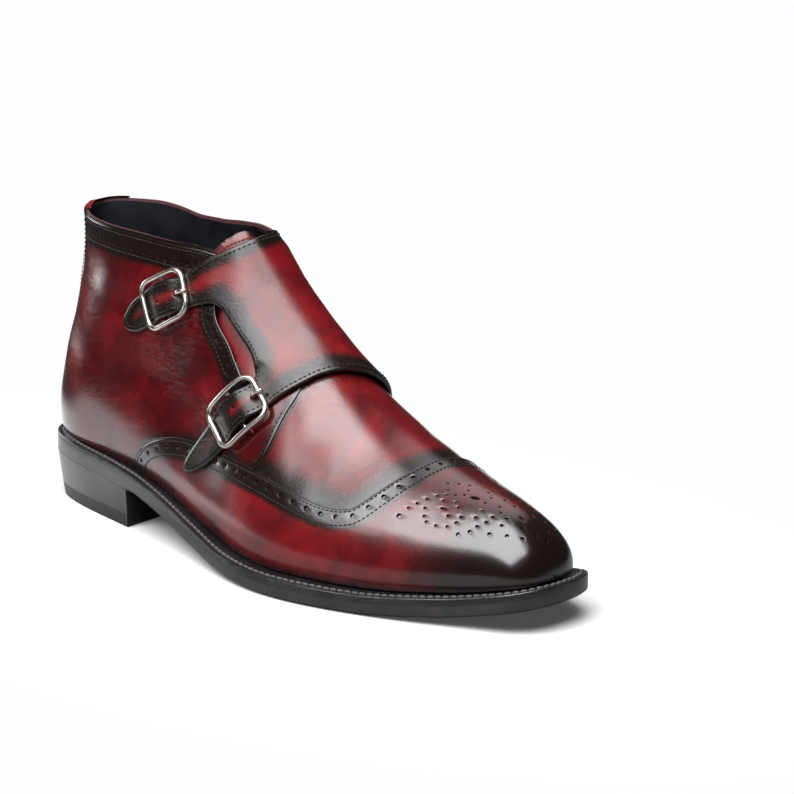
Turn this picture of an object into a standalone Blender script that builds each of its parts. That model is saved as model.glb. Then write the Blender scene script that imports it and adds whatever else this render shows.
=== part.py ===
"""Double monk strap boot, right foot, as an assembly of separate solids.

+X runs from heel to toe, +Y to the inner (medial) side, +Z up.  The origin is
the middle of the footprint, on the floor.  The tables below are in shares of a
few driving sizes, so a change of length, ball width, instep or heel height
carries through every piece.  Sizes are in millimetres and become metres when a
mesh is made.
"""
import math

import bpy
import numpy as np
from mathutils.geometry import delaunay_2d_cdt

MM = 0.001

# Driving sizes of the boot, in millimetres.
BOOT_LENGTH = 306.0        # outsole, heel to toe
BALL_WIDTH = 104.0         # outsole across the ball
INSTEP_HEIGHT = 103.5      # crest of the upper above the floor at mid foot
COLLAR_HEIGHT = 132.0      # back of the collar above the floor
HEEL_HEIGHT = 17.5         # heel under the sole at its breast
TOE_SPRING = 11.3          # underside of the toe tip above the floor
ORIGIN_X = 152.0           # middle of the footprint, from the back of the heel
ORIGIN_Y = -5.4            # middle of the footprint, from the centre line

# Thicknesses and gaps, in millimetres.
OUTSOLE_THICKNESS = 5.0
WELT_THICKNESS = 3.1
TOP_LIFT_THICKNESS = 6.0
UPPER_WALL = 2.6
UPPER_FOOT = 7.2           # wall and tuck of the upper at the welt
TONGUE_THICKNESS = 1.8
INSOLE_RISE = 2.4          # insole above the top of the welt
GAP = 0.3                  # between flat pieces
CURVED_GAP = 0.5           # between pieces that wrap round the last
TONGUE_GAP = 0.9           # behind the upper, whose inner side bends tighter
WELT_TOP = OUTSOLE_THICKNESS + GAP + WELT_THICKNESS

# Sole outline: place along the length, and reach to each side of the centre
# line, in per cent of boot length and of ball width.
#   along, lateral, medial
SOLE_OUTLINE = (
    (0.0, 0.0, 0.0),
    (2.0, 16.5, 16.5),
    (6.5, 24.0, 26.0),
    (13.7, 29.5, 30.5),
    (23.5, 34.5, 30.0),
    (34.3, 40.5, 28.5),
    (45.8, 49.0, 31.5),
    (56.2, 55.5, 39.5),
    (66.0, 54.5, 45.0),
    (75.8, 47.0, 44.0),
    (85.0, 37.0, 34.5),
    (92.8, 27.5, 27.0),
    (97.4, 21.0, 21.5),
    (99.4, 12.0, 12.5),
    (100.0, 0.0, 0.0),
)

# Underside of the sole: height in per cent of heel height and of toe spring.
#   along, heel share, spring share
SOLE_PROFILE = (
    (0.0, 126.0, 0.0),
    (24.5, 100.0, 0.0),
    (32.7, 75.0, 0.0),
    (42.5, 38.0, 0.0),
    (52.3, 9.0, 0.0),
    (62.0, 0.0, 0.0),
    (74.0, 0.0, 0.0),
    (86.6, 0.0, 28.0),
    (100.0, 0.0, 100.0),
)

# How far the upper stands inside the edge of the sole, in millimetres.
#   along, inset
UPPER_INSET = (
    (0.0, 1.6),
    (13.0, 3.0),
    (29.5, 5.0),
    (49.0, 6.0),
    (72.0, 6.5),
    (91.5, 6.0),
    (100.0, 6.2),
)

# Crest of the upper from the toe tip to the front of the collar: per cent of
# length and of instep height.
#   along, height
CREST = (
    (98.0, 18.6),
    (97.5, 26.0),
    (94.8, 36.2),
    (88.2, 44.4),
    (80.0, 49.8),
    (72.0, 57.5),
    (63.7, 69.6),
    (56.2, 84.0),
    (49.0, 100.0),
    (40.2, 133.3),
)

# Sideways place of the crest, and how full the section is under it (2 is an
# ellipse, less is a ridge, more is a box).
#   along, crest to the medial side in mm, fullness
CREST_SHAPE = (
    (20.0, 3.0, 1.70),
    (42.5, 3.5, 1.73),
    (55.5, 3.5, 1.75),
    (68.6, 3.5, 2.00),
    (81.7, 3.0, 2.30),
    (98.0, 1.5, 2.50),
)

# Back seam: per cent of collar height, and millimetres from the heel back.
#   height, place
BACK_SEAM = (
    (22.7, -1.5),
    (31.8, -2.0),
    (44.0, 1.5),
    (59.0, 5.0),
    (74.0, 9.0),
    (88.0, 10.0),
    (100.0, 7.0),
)

# Level sections of heel and ankle: height in per cent of collar height, the
# rest in millimetres.
#   height, half width, centre to medial, length of back curve, of front curve
ANKLE_SECTIONS = (
    (19.7, 31.0, 0.5, 46.0, 60.0),
    (37.9, 31.0, 0.5, 48.0, 60.0),
    (56.8, 29.5, 1.5, 54.0, 64.0),
    (75.8, 28.5, 3.0, 66.0, 64.0),
    (90.9, 27.0, 4.5, 68.0, 74.0),
    (107.6, 28.0, 6.0, 72.0, 80.0),
)

# Collar edge seen from the side, in millimetres from the heel back and in per
# cent of collar height.
#   place, height
COLLAR_EDGE = (
    (7.0, 100.0),
    (40.0, 100.2),
    (80.0, 99.6),
    (105.0, 99.8),
    (123.0, 104.5),
)


# ---------------------------------------------------------------- curves

def natural_spline(knots, values):
    """Cubic spline through values at knots, straight at both ends."""
    knots = np.asarray(knots, float)
    values = np.asarray(values, float)
    count = len(knots)
    step = np.diff(knots)
    system = np.zeros((count, count))
    right = np.zeros_like(values)
    system[0, 0] = system[-1, -1] = 1.0
    for i in range(1, count - 1):
        system[i, i - 1:i + 2] = step[i - 1], 2 * (step[i - 1] + step[i]), step[i]
        rise_after = (values[i + 1] - values[i]) / step[i]
        rise_before = (values[i] - values[i - 1]) / step[i - 1]
        right[i] = 6 * (rise_after - rise_before)
    bend = np.linalg.solve(system, right)

    def evaluate(x):
        x = np.asarray(x, float)
        i = np.clip(np.searchsorted(knots, x) - 1, 0, count - 2)
        width = step[i]
        before = (knots[i + 1] - x) / width
        after = (x - knots[i]) / width
        if values.ndim > 1:
            width, before, after = width[..., None], before[..., None], after[..., None]
        curve = before * values[i] + after * values[i + 1]
        curve += ((before**3 - before) * bend[i] + (after**3 - after) * bend[i + 1]) * width**2 / 6
        return curve
    return evaluate


def monotone_spline(knots, values):
    """Cubic curve through values at knots that never overshoots them."""
    knots = np.asarray(knots, float)
    values = np.asarray(values, float)
    step = np.diff(knots)
    rise = np.diff(values) / step
    slope = np.zeros(len(knots))
    slope[0], slope[-1] = rise[0], rise[-1]
    for i in range(1, len(knots) - 1):
        if rise[i - 1] * rise[i] > 0:
            near = 2 * step[i] + step[i - 1]
            far = step[i] + 2 * step[i - 1]
            slope[i] = (near + far) / (near / rise[i - 1] + far / rise[i])

    def evaluate(x):
        x = np.asarray(x, float)
        i = np.clip(np.searchsorted(knots, x) - 1, 0, len(knots) - 2)
        t = (x - knots[i]) / step[i]
        ends = (2 * t**3 - 3 * t**2 + 1) * values[i] + (3 * t**2 - 2 * t**3) * values[i + 1]
        bends = (t**3 - 2 * t**2 + t) * slope[i] + (t**3 - t**2) * slope[i + 1]
        return ends + step[i] * bends
    return evaluate


def curve_through(points, samples, closed=False):
    """Evenly stepped samples of a smooth curve through the points."""
    points = np.asarray(points, float)
    if closed:
        # a few points more at both ends keep the loop smooth across its start
        points = np.vstack([points[-4:], points, points[:5]])
    run = np.r_[0, np.cumsum(np.linalg.norm(np.diff(points, axis=0), axis=1))]
    smooth = natural_spline(run, points)
    first, last = (run[4], run[-5]) if closed else (run[0], run[-1])
    return smooth(np.linspace(first, last, samples, endpoint=not closed))


def by_length(points):
    """A curve as a function of the share of its own length, 0 to 1."""
    run = np.r_[0, np.cumsum(np.linalg.norm(np.diff(points, axis=0), axis=1))]
    run /= run[-1]
    return lambda share: np.stack([np.interp(share, run, column) for column in points.T], -1)


def ease(low, high, x):
    """0 below low, 1 above high, smooth between."""
    t = np.clip((x - low) / (high - low), 0, 1)
    return t * t * (3 - 2 * t)


def round_off(distance, length):
    """Rises from 0 at a rounded end to 1 at the given length from it."""
    return np.sqrt(np.maximum(1 - (1 - np.clip(distance / length, 0, 1))**2.6, 0))


# ---------------------------------------------------------------- the last

def sole_outline(samples=600):
    """Outline of the sole from the heel back, along the lateral side first."""
    table = np.array(SOLE_OUTLINE) * (BOOT_LENGTH / 100, BALL_WIDTH / 100, BALL_WIDTH / 100)
    lateral = np.c_[table[:, 0], -table[:, 1]]
    medial = np.c_[table[:, 0], table[:, 2]][::-1][1:-1]
    return curve_through(np.vstack([lateral, medial]), samples, closed=True)


OUTLINE = sole_outline()
SOLE_TABLE = np.array(SOLE_PROFILE)
UNDERSIDE = monotone_spline(
    SOLE_TABLE[:, 0] / 100 * BOOT_LENGTH,
    SOLE_TABLE[:, 1] / 100 * HEEL_HEIGHT + SOLE_TABLE[:, 2] / 100 * TOE_SPRING)


def underside(x):
    """Height of the sole's underside above the floor."""
    return UNDERSIDE(np.clip(x, 0, BOOT_LENGTH))


def inset_outline(extra=0.0):
    """Outline of the upper at the welt, moved further inside by extra."""
    step = np.roll(OUTLINE, -1, 0) - np.roll(OUTLINE, 1, 0)
    inward = np.c_[-step[:, 1], step[:, 0]] / np.linalg.norm(step, axis=1, keepdims=True)
    table = np.array(UPPER_INSET)
    inset = np.interp(OUTLINE[:, 0], table[:, 0] / 100 * BOOT_LENGTH, table[:, 1]) + extra
    return OUTLINE + inward * inset[:, None]


class Last:
    """Outer surface of the upper as a function of two shares.

    around: -1 at the back seam, through the lateral side to 0 on the crest,
    then through the medial side to +1 at the back seam.
    up: 0 at the welt, 1 at the collar; on the crest 0 is the toe tip.
    """

    def __init__(self):
        foot = inset_outline()
        foot = np.roll(foot, -foot[:, 0].argmin(), axis=0)
        tip = foot[:, 0].argmax()
        self.heel, self.toe = foot[0], foot[tip]
        self.lateral = foot[:tip + 1]
        self.medial = np.vstack([foot[tip:], foot[:1]])[::-1]

        crest = np.array(CREST) / 100 * (BOOT_LENGTH, INSTEP_HEIGHT)
        self.crest = curve_through(crest, 1500)
        shape = np.array(CREST_SHAPE)
        self.crest_side = natural_spline(shape[:, 0] / 100 * BOOT_LENGTH, shape[:, 1])
        self.fullness = monotone_spline(shape[:, 0] / 100 * BOOT_LENGTH, shape[:, 2])
        self.shape_ends = shape[[0, -1], 0] / 100 * BOOT_LENGTH

        seam = np.array(BACK_SEAM)
        self.back_place = natural_spline(seam[:, 0] / 100 * COLLAR_HEIGHT, seam[:, 1])
        ankle = np.array(ANKLE_SECTIONS)
        self.ankle_ends = ankle[[0, -1], 0] / 100 * COLLAR_HEIGHT
        self.ankle = natural_spline(ankle[:, 0] / 100 * COLLAR_HEIGHT, ankle[:, 1:])

        welt_height = underside(self.heel[0]) + WELT_TOP
        heights = np.linspace(welt_height, COLLAR_HEIGHT, 400)
        self.back = by_length(np.c_[self.back_place(heights), heights])
        along = np.linspace(self.back_place(welt_height), self.crest[0, 0], 600)
        self.feather = by_length(np.c_[along, underside(along) + WELT_TOP])
        edge = np.array(COLLAR_EDGE) * (1, COLLAR_HEIGHT / 100)
        self.collar = by_length(curve_through(edge, 400))
        self.front = by_length(self.crest)

    def plan(self, x):
        """Half width and centre of the upper at the welt, at place x."""
        x = np.clip(x, self.heel[0], self.toe[0])
        middle = np.interp(x, [self.heel[0], self.toe[0]], [self.heel[1], self.toe[1]])
        reach = []
        for side in (self.lateral, self.medial):
            axis = np.interp(side[:, 0], [self.heel[0], self.toe[0]], [self.heel[1], self.toe[1]])
            reach.append(np.sqrt(np.interp(x, side[:, 0], (side[:, 1] - axis)**2)))
        return (reach[0] + reach[1]) / 2, (reach[1] - reach[0]) / 2 + middle

    def section(self, x, z):
        """Half width and centre of the upper at place x and height z."""
        crest_x, crest_z = self.crest[::-1, 0], self.crest[::-1, 1]
        lean = (crest_z[0] - crest_z[25]) / (crest_x[0] - crest_x[25])
        over = np.interp(x, crest_x, crest_z)
        over = np.where(x < crest_x[0], crest_z[0] + lean * (x - crest_x[0]), over)
        ahead = np.interp(-z, -crest_z, crest_x)
        ahead = np.where(z > crest_z[0], crest_x[0] + (z - crest_z[0]) / lean, ahead)

        rise = z - underside(x) - WELT_TOP
        tuck = 1 - 0.07 * np.exp(-np.maximum(rise, 0) / 5)
        half, centre = self.plan(x)
        share = np.clip(rise / np.maximum(over - underside(x) - WELT_TOP, 1e-3), 1e-6, 1)
        power = self.fullness(np.clip(x, *self.shape_ends))
        foot_half = half * tuck * np.sqrt(np.maximum(1 - share**power, 0))
        side = self.crest_side(np.clip(x, *self.shape_ends))
        foot_centre = centre + (side - centre) * ease(0.1, 1.0, share)

        level = self.ankle(np.clip(z, *self.ankle_ends))
        lift = ease(6, 45, rise)
        low_half = np.where(x < 60, self.plan(60.0)[0], half)
        low_centre = np.where(x < 30, self.plan(30.0)[1], centre)
        shaft_half = ((1 - lift) * low_half + lift * level[..., 0]) * tuck
        shaft_half = shaft_half * round_off(x - self.back_place(z), level[..., 2])
        shaft_half = shaft_half * round_off(ahead - x, level[..., 3])
        shaft_centre = (1 - lift) * low_centre + lift * level[..., 1]

        forward = ease(95, 165, x)
        return ((1 - forward) * shaft_half + forward * foot_half,
                (1 - forward) * shaft_centre + forward * foot_centre)

    def point(self, around, up):
        """Points of the outer surface; up past 1 goes straight above the collar."""
        around, up = np.broadcast_arrays(np.asarray(around, float), np.asarray(up, float))
        around = (around + 1) % 2 - 1
        share = (1 + np.cos(math.pi * around)) / 2
        level = np.clip(up, 0, 1)
        s, v = share[..., None], level[..., None]
        place = (1 - v) * self.feather(share) + v * self.collar(share)
        place += (1 - s) * self.back(level) + s * self.front(level)
        corners = (1 - v) * ((1 - s) * self.feather(0.0) + s * self.feather(1.0))
        corners += v * ((1 - s) * self.collar(0.0) + s * self.collar(1.0))
        place -= corners
        x = place[..., 0]
        z = place[..., 1] + np.maximum(up - 1, 0) * COLLAR_HEIGHT
        half, centre = self.section(x, z)
        half = np.where((share < 1e-9) | (share > 1 - 1e-9), 0, half)
        return np.stack([x, centre + np.sign(around) * half, z], -1)

    def normal(self, around, up):
        """Outward unit normals of the outer surface."""
        small = 2e-3
        around, up = np.broadcast_arrays(np.asarray(around, float), np.asarray(up, float))
        across = self.point(around + small, up) - self.point(around - small, up)
        low, high = np.clip(up - small, 0, 1 - small), np.clip(up + small, small, 1)
        rise = self.point(around, high) - self.point(around, low)
        outward = np.cross(across, rise)
        return outward / np.linalg.norm(outward, axis=-1, keepdims=True)

    def offset(self, around, up, height):
        """Points that stand proud of the outer surface by height."""
        return self.point(around, up) + self.normal(around, up) * np.asarray(height)[..., None]


LAST = Last()


# ---------------------------------------------------------------- meshes

def material(name, colour, roughness, metallic=0.0):
    """A Principled material of one colour."""
    made = bpy.data.materials.new(name)
    made.use_nodes = True
    shader = made.node_tree.nodes["Principled BSDF"]
    shader.inputs["Base Color"].default_value = (*colour, 1)
    shader.inputs["Roughness"].default_value = roughness
    shader.inputs["Metallic"].default_value = metallic
    return made


def make_object(name, points, faces, finish, sharp_angle=40.0):
    """A closed mesh object from points in millimetres."""
    points = (np.asarray(points, float) - (ORIGIN_X, ORIGIN_Y, 0)) * MM
    mesh = bpy.data.meshes.new(name)
    mesh.from_pydata(points.tolist(), [], [tuple(int(i) for i in face) for face in faces])
    mesh.validate()
    mesh.materials.append(finish)
    mesh.shade_smooth()
    mesh.set_sharp_from_angle(angle=math.radians(sharp_angle))
    made = bpy.data.objects.new(name, mesh)
    bpy.context.scene.collection.objects.link(made)
    return made


def evenly_spaced(loop, spacing):
    """A closed loop of points resampled at about the given spacing."""
    loop = np.asarray(loop, float)
    closed = np.vstack([loop, loop[:1]])
    run = np.r_[0, np.cumsum(np.linalg.norm(np.diff(closed, axis=0), axis=1))]
    count = max(8, int(round(run[-1] / spacing)))
    steps = np.arange(count) * run[-1] / count
    return np.stack([np.interp(steps, run, column) for column in closed.T], -1)


def inside(loop, points):
    """Which of the points lie inside a closed loop, by crossings."""
    hit = np.zeros(len(points), bool)
    for start, end in zip(loop, np.roll(loop, -1, 0)):
        spans = (start[1] > points[:, 1]) != (end[1] > points[:, 1])
        rise = end[1] - start[1] if end[1] != start[1] else 1e-12
        cross = start[0] + (points[:, 1] - start[1]) / rise * (end[0] - start[0])
        hit ^= spans & (points[:, 0] < cross)
    return hit


def clearance(loop, points):
    """Distance from each point to the nearest side of a closed loop."""
    nearest = np.full(len(points), np.inf)
    for start, end in zip(loop, np.roll(loop, -1, 0)):
        side = end - start
        t = np.clip((points - start) @ side / max(side @ side, 1e-12), 0, 1)
        gap = np.linalg.norm(points - start - t[:, None] * side, axis=1)
        nearest = np.minimum(nearest, gap)
    return nearest


def filled_region(loop, spacing, holes=()):
    """Points and triangles that fill a flat loop, leaving the holes open."""
    low, high = loop.min(0), loop.max(0)
    rows = []
    for number, y in enumerate(np.arange(low[1] + spacing / 2, high[1], spacing * 0.87)):
        shift = spacing / 2 * (number % 2)
        xs = np.arange(low[0] + shift, high[0], spacing)
        rows.append(np.c_[xs, np.full(len(xs), y)])
    grid = np.vstack(rows)
    keep = inside(loop, grid) & (clearance(loop, grid) > 0.55 * spacing)
    for hole in holes:
        keep &= ~inside(hole, grid) & (clearance(hole, grid) > 0.4 * spacing)
    grid = grid[keep]

    points, edges = [loop], []
    start = 0
    for ring in (loop, *holes):
        edges += [(start + i, start + (i + 1) % len(ring)) for i in range(len(ring))]
        start += len(ring)
    points = np.vstack([loop, *holes, grid])
    flat, _, faces, *_ = delaunay_2d_cdt([tuple(p) for p in points], edges, [], 0, 1e-6)
    flat = np.array([tuple(p) for p in flat])
    faces = np.array(faces)
    middle = flat[faces].mean(1)
    wanted = inside(loop, middle)
    for hole in holes:
        wanted &= ~inside(hole, middle)
    return flat, faces[wanted]


def slab(name, loop, spacing, low, high, finish, holes=()):
    """A closed plate over a flat region, between two surfaces.

    low and high turn flat points into the space points of the two faces.
    """
    flat, faces = filled_region(loop, spacing, holes)
    count = len(flat)
    sides = np.vstack([faces[:, [0, 1]], faces[:, [1, 2]], faces[:, [2, 0]]])
    seen = {tuple(side) for side in sides}
    rim = [side for side in seen if side[::-1] not in seen]
    quads = [(start, end, end + count, start + count) for start, end in rim]
    top = [tuple(face + count) for face in faces]
    bottom = [tuple(face[::-1]) for face in faces]
    return make_object(name, np.vstack([low(flat), high(flat)]), top + bottom + quads, finish)


def ring(name, loops, finish):
    """A closed ring from loops of equal length, joined in order and round."""
    count = len(loops[0])
    faces = []
    for row in range(len(loops)):
        after = (row + 1) % len(loops)
        for i in range(count):
            j = (i + 1) % count
            faces.append((row * count + i, after * count + i, after * count + j, row * count + j))
    return make_object(name, np.vstack(loops), faces, finish)


def tube(name, path, radii, up, finish, closed=False, sides=8):
    """A round bar along a path; up gives a rough upward direction per point."""
    path = np.asarray(path, float)
    if closed:
        ahead = np.roll(path, -1, 0) - np.roll(path, 1, 0)
    else:
        ahead = np.gradient(path, axis=0)
    ahead /= np.linalg.norm(ahead, axis=1, keepdims=True)
    side = np.cross(ahead, up)
    side /= np.linalg.norm(side, axis=1, keepdims=True)
    rise = np.cross(side, ahead)
    turns = np.arange(sides) * 2 * math.pi / sides + math.pi / sides
    radii = np.broadcast_to(radii, len(path))[:, None, None]
    spokes = np.cos(turns)[None, :, None] * side[:, None] + np.sin(turns)[None, :, None] * rise[:, None]
    points = (path[:, None] + radii * spokes).reshape(-1, 3)
    faces = []
    for i in range(len(path) if closed else len(path) - 1):
        j = (i + 1) % len(path)
        for k in range(sides):
            m = (k + 1) % sides
            faces.append((i * sides + k, j * sides + k, j * sides + m, i * sides + m))
    if not closed:
        last = (len(path) - 1) * sides
        faces.append(tuple(range(sides)))
        faces.append(tuple(range(last, last + sides))[::-1])
    return make_object(name, points, faces, finish, sharp_angle=60.0)


# ---------------------------------------------------------------- sole unit

HEEL_BREAST = 24.5 / 100 * BOOT_LENGTH
HEEL_TAPER = 0.96          # size of the heel at the floor against its seat
BREAST_HOLLOW = 2.5        # how far the breast curves in


def heel_loop(spacing=6.5):
    """Outline of the heel seat with its hollow breast."""
    half = len(OUTLINE) // 2
    lateral = OUTLINE[:half][OUTLINE[:half, 0] <= HEEL_BREAST]
    medial = OUTLINE[half:][OUTLINE[half:, 0] <= HEEL_BREAST]
    across = np.linspace(lateral[-1, 1], medial[0, 1], 12)
    bow = 1 - ((across - across.mean()) / (across[-1] - across[0]) * 2)**2
    breast = np.c_[HEEL_BREAST - BREAST_HOLLOW * bow, across]
    curved = np.vstack([medial, lateral])
    run = np.r_[0, np.cumsum(np.linalg.norm(np.diff(curved, axis=0), axis=1))]
    steps = np.linspace(0, run[-1], int(run[-1] / spacing))
    curved = np.stack([np.interp(steps, run, column) for column in curved.T], -1)
    return np.vstack([curved, breast[1:-1]])


def at_height(flat, height, scale=1.0):
    """Space points over flat points, scaled toward the breast's middle."""
    centre = np.array([HEEL_BREAST, 0.0])
    moved = centre + (flat - centre) * scale
    return np.c_[moved, np.broadcast_to(height, len(flat))]


def heel_scale(height):
    return HEEL_TAPER + (1 - HEEL_TAPER) * height / (HEEL_HEIGHT * 1.1)


def build_heel(leather_stack, rubber):
    loop = heel_loop()
    seam = TOP_LIFT_THICKNESS
    slab("top_lift", loop, 9.0,
         lambda flat: at_height(flat, 0.0, heel_scale(0.0)),
         lambda flat: at_height(flat, seam, heel_scale(seam)), rubber)
    slab("heel_stack", loop, 9.0,
         lambda flat: at_height(flat, seam + GAP, heel_scale(seam + GAP)),
         lambda flat: at_height(flat, underside(flat[:, 0]) - GAP), leather_stack)


def build_sole(sole_leather, welt_leather, lining_leather):
    loop = evenly_spaced(OUTLINE, 8.0)
    slab("outsole", loop, 11.0,
         lambda flat: np.c_[flat, underside(flat[:, 0])],
         lambda flat: np.c_[flat, underside(flat[:, 0]) + OUTSOLE_THICKNESS], sole_leather)

    count = 84
    pick = (np.arange(count) * len(OUTLINE) / count).astype(int)
    rim = OUTLINE[pick]
    inner = inset_outline(UPPER_FOOT)[pick]
    rim_low = underside(rim[:, 0]) + OUTSOLE_THICKNESS + GAP
    inner_low = underside(inner[:, 0]) + OUTSOLE_THICKNESS + GAP
    ring("welt", [np.c_[inner, inner_low], np.c_[inner, inner_low + WELT_THICKNESS],
                  np.c_[rim, rim_low + WELT_THICKNESS], np.c_[rim, rim_low]], welt_leather)

    loop = evenly_spaced(inset_outline(UPPER_FOOT + 2 * GAP), 9.0)
    slab("insole", loop, 13.0,
         lambda flat: np.c_[flat, underside(flat[:, 0]) + OUTSOLE_THICKNESS + GAP],
         lambda flat: np.c_[flat, underside(flat[:, 0]) + WELT_TOP + INSOLE_RISE], lining_leather)


# ---------------------------------------------------------------- upper

# Front edge of the lateral quarter, from the foot of the throat to the collar.
#   up, around
THROAT_EDGE = (
    (0.69, -0.281),
    (0.74, -0.277),
    (0.80, -0.265),
    (0.88, -0.261),
    (0.93, -0.268),
    (1.00, -0.285),
)
THROAT_WIDTH = 0.18        # share of the way round that the throat opens at the collar


def build_upper(leather):
    """The hollow upper: open at collar, throat and underneath."""
    columns, rows = 62, 24
    throat = np.array(THROAT_EDGE)
    foot = throat[0, 0]
    low = np.linspace(0, 1, 8)**1.25 * 0.16
    levels = np.r_[low, np.linspace(0.16, foot, rows - 14)[1:], np.linspace(foot, 1, 8)[1:]]
    fork = int(np.argmin(abs(levels - foot)))
    start = np.interp(levels, throat[:, 0], throat[:, 1])
    open_share = np.clip((levels - foot) / (1 - foot), 0, 1) * THROAT_WIDTH
    share = np.linspace(0, 1, columns + 1)
    around = start[:, None] - share[None] * (2 - open_share[:, None])
    up = np.broadcast_to(levels[:, None], around.shape)
    outer = LAST.point(around, up)
    outer[0, :, 2] += GAP
    inner = LAST.offset(around, up, np.full(around.shape, -UPPER_WALL))
    inner[0] = np.c_[inner[0, :, :2], outer[0, :, 2]]
    inner[-1, :, 2] = outer[-1, :, 2]

    points, number = [], {}
    for layer, grid in enumerate((outer, inner)):
        for i in range(len(levels)):
            for j in range(columns + 1):
                if i <= fork and j == columns:
                    number[layer, i, j] = number[layer, i, 0]
                    continue
                number[layer, i, j] = len(points)
                points.append(grid[i, j])
    faces = []
    for i in range(len(levels) - 1):
        for j in range(columns):
            corners = ((i, j), (i, j + 1), (i + 1, j + 1), (i + 1, j))
            faces.append([number[(0, *c)] for c in corners][::-1])
            faces.append([number[(1, *c)] for c in corners])
    for j in range(columns):
        for i, turn in ((0, 1), (len(levels) - 1, -1)):
            rim = [number[0, i, j], number[0, i, j + 1], number[1, i, j + 1], number[1, i, j]]
            faces.append(rim[::turn])
    for i in range(fork, len(levels) - 1):
        for j, turn in ((0, -1), (columns, 1)):
            rim = [number[0, i, j], number[0, i + 1, j], number[1, i + 1, j], number[1, i, j]]
            faces.append(rim[::turn])
    return make_object("upper", points, faces, leather)


# Outline of the tongue.
#   around, up
TONGUE_OUTLINE = (
    (-0.36, 0.62), (-0.20, 0.56), (-0.02, 0.58), (0.05, 0.66), (0.04, 0.80), (0.00, 0.92),
    (-0.05, 0.99), (-0.11, 1.02), (-0.17, 1.03), (-0.24, 1.015), (-0.31, 0.96), (-0.36, 0.88),
    (-0.38, 0.78), (-0.38, 0.70),
)
CHART = np.array([240.0, 140.0])   # rough millimetres per share, to space points evenly


def build_tongue(leather):
    loop = evenly_spaced(curve_through(np.array(TONGUE_OUTLINE) * CHART, 200, closed=True), 6.0)
    outer = -(UPPER_WALL + TONGUE_GAP)

    def face(height):
        return lambda flat: LAST.offset(*(flat / CHART).T, np.full(len(flat), height))
    return slab("tongue", loop, 6.5, face(outer - TONGUE_THICKNESS), face(outer), leather)


# ---------------------------------------------------------------- monk strap

class BuckleSeat:
    """Flat coordinates on the last round a buckle: s along the strap toward
    the instep, t across it, in millimetres."""

    def __init__(self, around, up, angle):
        self.chart = np.array([around, up])
        self.centre = LAST.point(around, up)
        self.out = LAST.normal(around, up)
        level = np.cross(self.out, (0, 0, 1))
        level /= np.linalg.norm(level)
        level *= np.sign(level[0])
        rise = np.cross(level, self.out)
        rise *= np.sign(rise[2])
        turn = math.radians(angle)
        self.along = math.cos(turn) * level + math.sin(turn) * rise
        self.across = math.cos(turn) * rise - math.sin(turn) * level

    def flat(self, points):
        """s and t of space points."""
        reach = points - self.centre
        return reach @ self.along, reach @ self.across

    def chart_at(self, s, t):
        """around and up under the places s, t, by Newton's steps."""
        s, t = np.broadcast_arrays(np.asarray(s, float), np.asarray(t, float))
        guess = np.broadcast_to(self.chart, (*s.shape, 2)).copy()
        small = 1e-4
        for _ in range(12):
            here = np.stack(self.flat(LAST.point(guess[..., 0], guess[..., 1])), -1)
            by_around = np.stack(self.flat(LAST.point(guess[..., 0] + small, guess[..., 1])), -1)
            by_up = np.stack(self.flat(LAST.point(guess[..., 0], guess[..., 1] + small)), -1)
            a, b = (by_around - here) / small, (by_up - here) / small
            miss = np.stack([s, t], -1) - here
            size = a[..., 0] * b[..., 1] - a[..., 1] * b[..., 0]
            step_a = (miss[..., 0] * b[..., 1] - miss[..., 1] * b[..., 0]) / size
            step_b = (a[..., 0] * miss[..., 1] - a[..., 1] * miss[..., 0]) / size
            guess += np.clip(np.stack([step_a, step_b], -1), -0.08, 0.08)
        return guess[..., 0], guess[..., 1]

    def place(self, s, t, height):
        """Space points at s, t and a height above the last."""
        return LAST.offset(*self.chart_at(s, t), np.broadcast_to(height, np.shape(s + t)))


#                       around, up, degrees that the strap climbs
BUCKLE_SEATS = {
    "upper": BuckleSeat(-0.422, 0.851, 28.0),
    "lower": BuckleSeat(-0.336, 0.555, 50.0),
}
FRAME_LENGTH = 21.5        # along the strap, to the middle of the bars
FRAME_WIDTH = 20.5         # across it
FRAME_CORNER = 5.0
FRAME_WIRE = 1.3           # radius
FRAME_RISE = 3.65          # middle of the wire above the quarter
BAR_WIRE = 0.75
BAR_RISE = 1.15            # the middle bar dips under the strap
STRAP_HALF = 7.0           # half the width of the straps
STRAP_THICKNESS = 1.5      # of the straps in their buckles
FLAP_THICKNESS = 2.2
STRAP_HUMP = 2.3           # rise of a strap over its middle bar
HUMP_LENGTH = 4.8
PRONG_HOLE = 5.6           # hole in the strap, from the middle bar
PRONG_HOLE_RADIUS = 1.9

# Reach of the strap tips behind their buckles, and how they close: each row is
# a place along the strap and the half width there.
STRAP_TIPS = {
    "upper": ((-22.0, 7.0), (-26.5, 6.2), (-29.5, 3.8), (-30.8, 0.0)),
    "lower": ((-25.0, 7.0), (-33.0, 5.2), (-38.0, 2.6), (-40.5, 0.0)),
}

# Outline of the flap between its straps.
#   around, up
FLAP_TOP = ((-0.300, 0.958), (-0.21, 0.978), (-0.12, 0.983), (-0.03, 0.985), (0.06, 0.985),
            (0.15, 0.985), (0.235, 0.975))
FLAP_BASE = ((0.235, 0.93), (0.205, 0.87), (0.20, 0.80), (0.22, 0.72), (0.25, 0.64),
             (0.275, 0.56), (0.285, 0.49))
FLAP_FRONT = ((0.24, 0.523), (0.19, 0.562), (0.12, 0.605), (0.05, 0.635), (-0.02, 0.650),
              (-0.08, 0.649), (-0.14, 0.640), (-0.20, 0.622))
FLAP_WINDOW = ((-0.315, 0.872), (-0.285, 0.879), (-0.263, 0.872), (-0.249, 0.85), (-0.241, 0.81),
               (-0.240, 0.76), (-0.245, 0.71), (-0.250, 0.67))
STRAP_ROOT = 13.0          # where each strap leaves the flap, from its buckle


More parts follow.
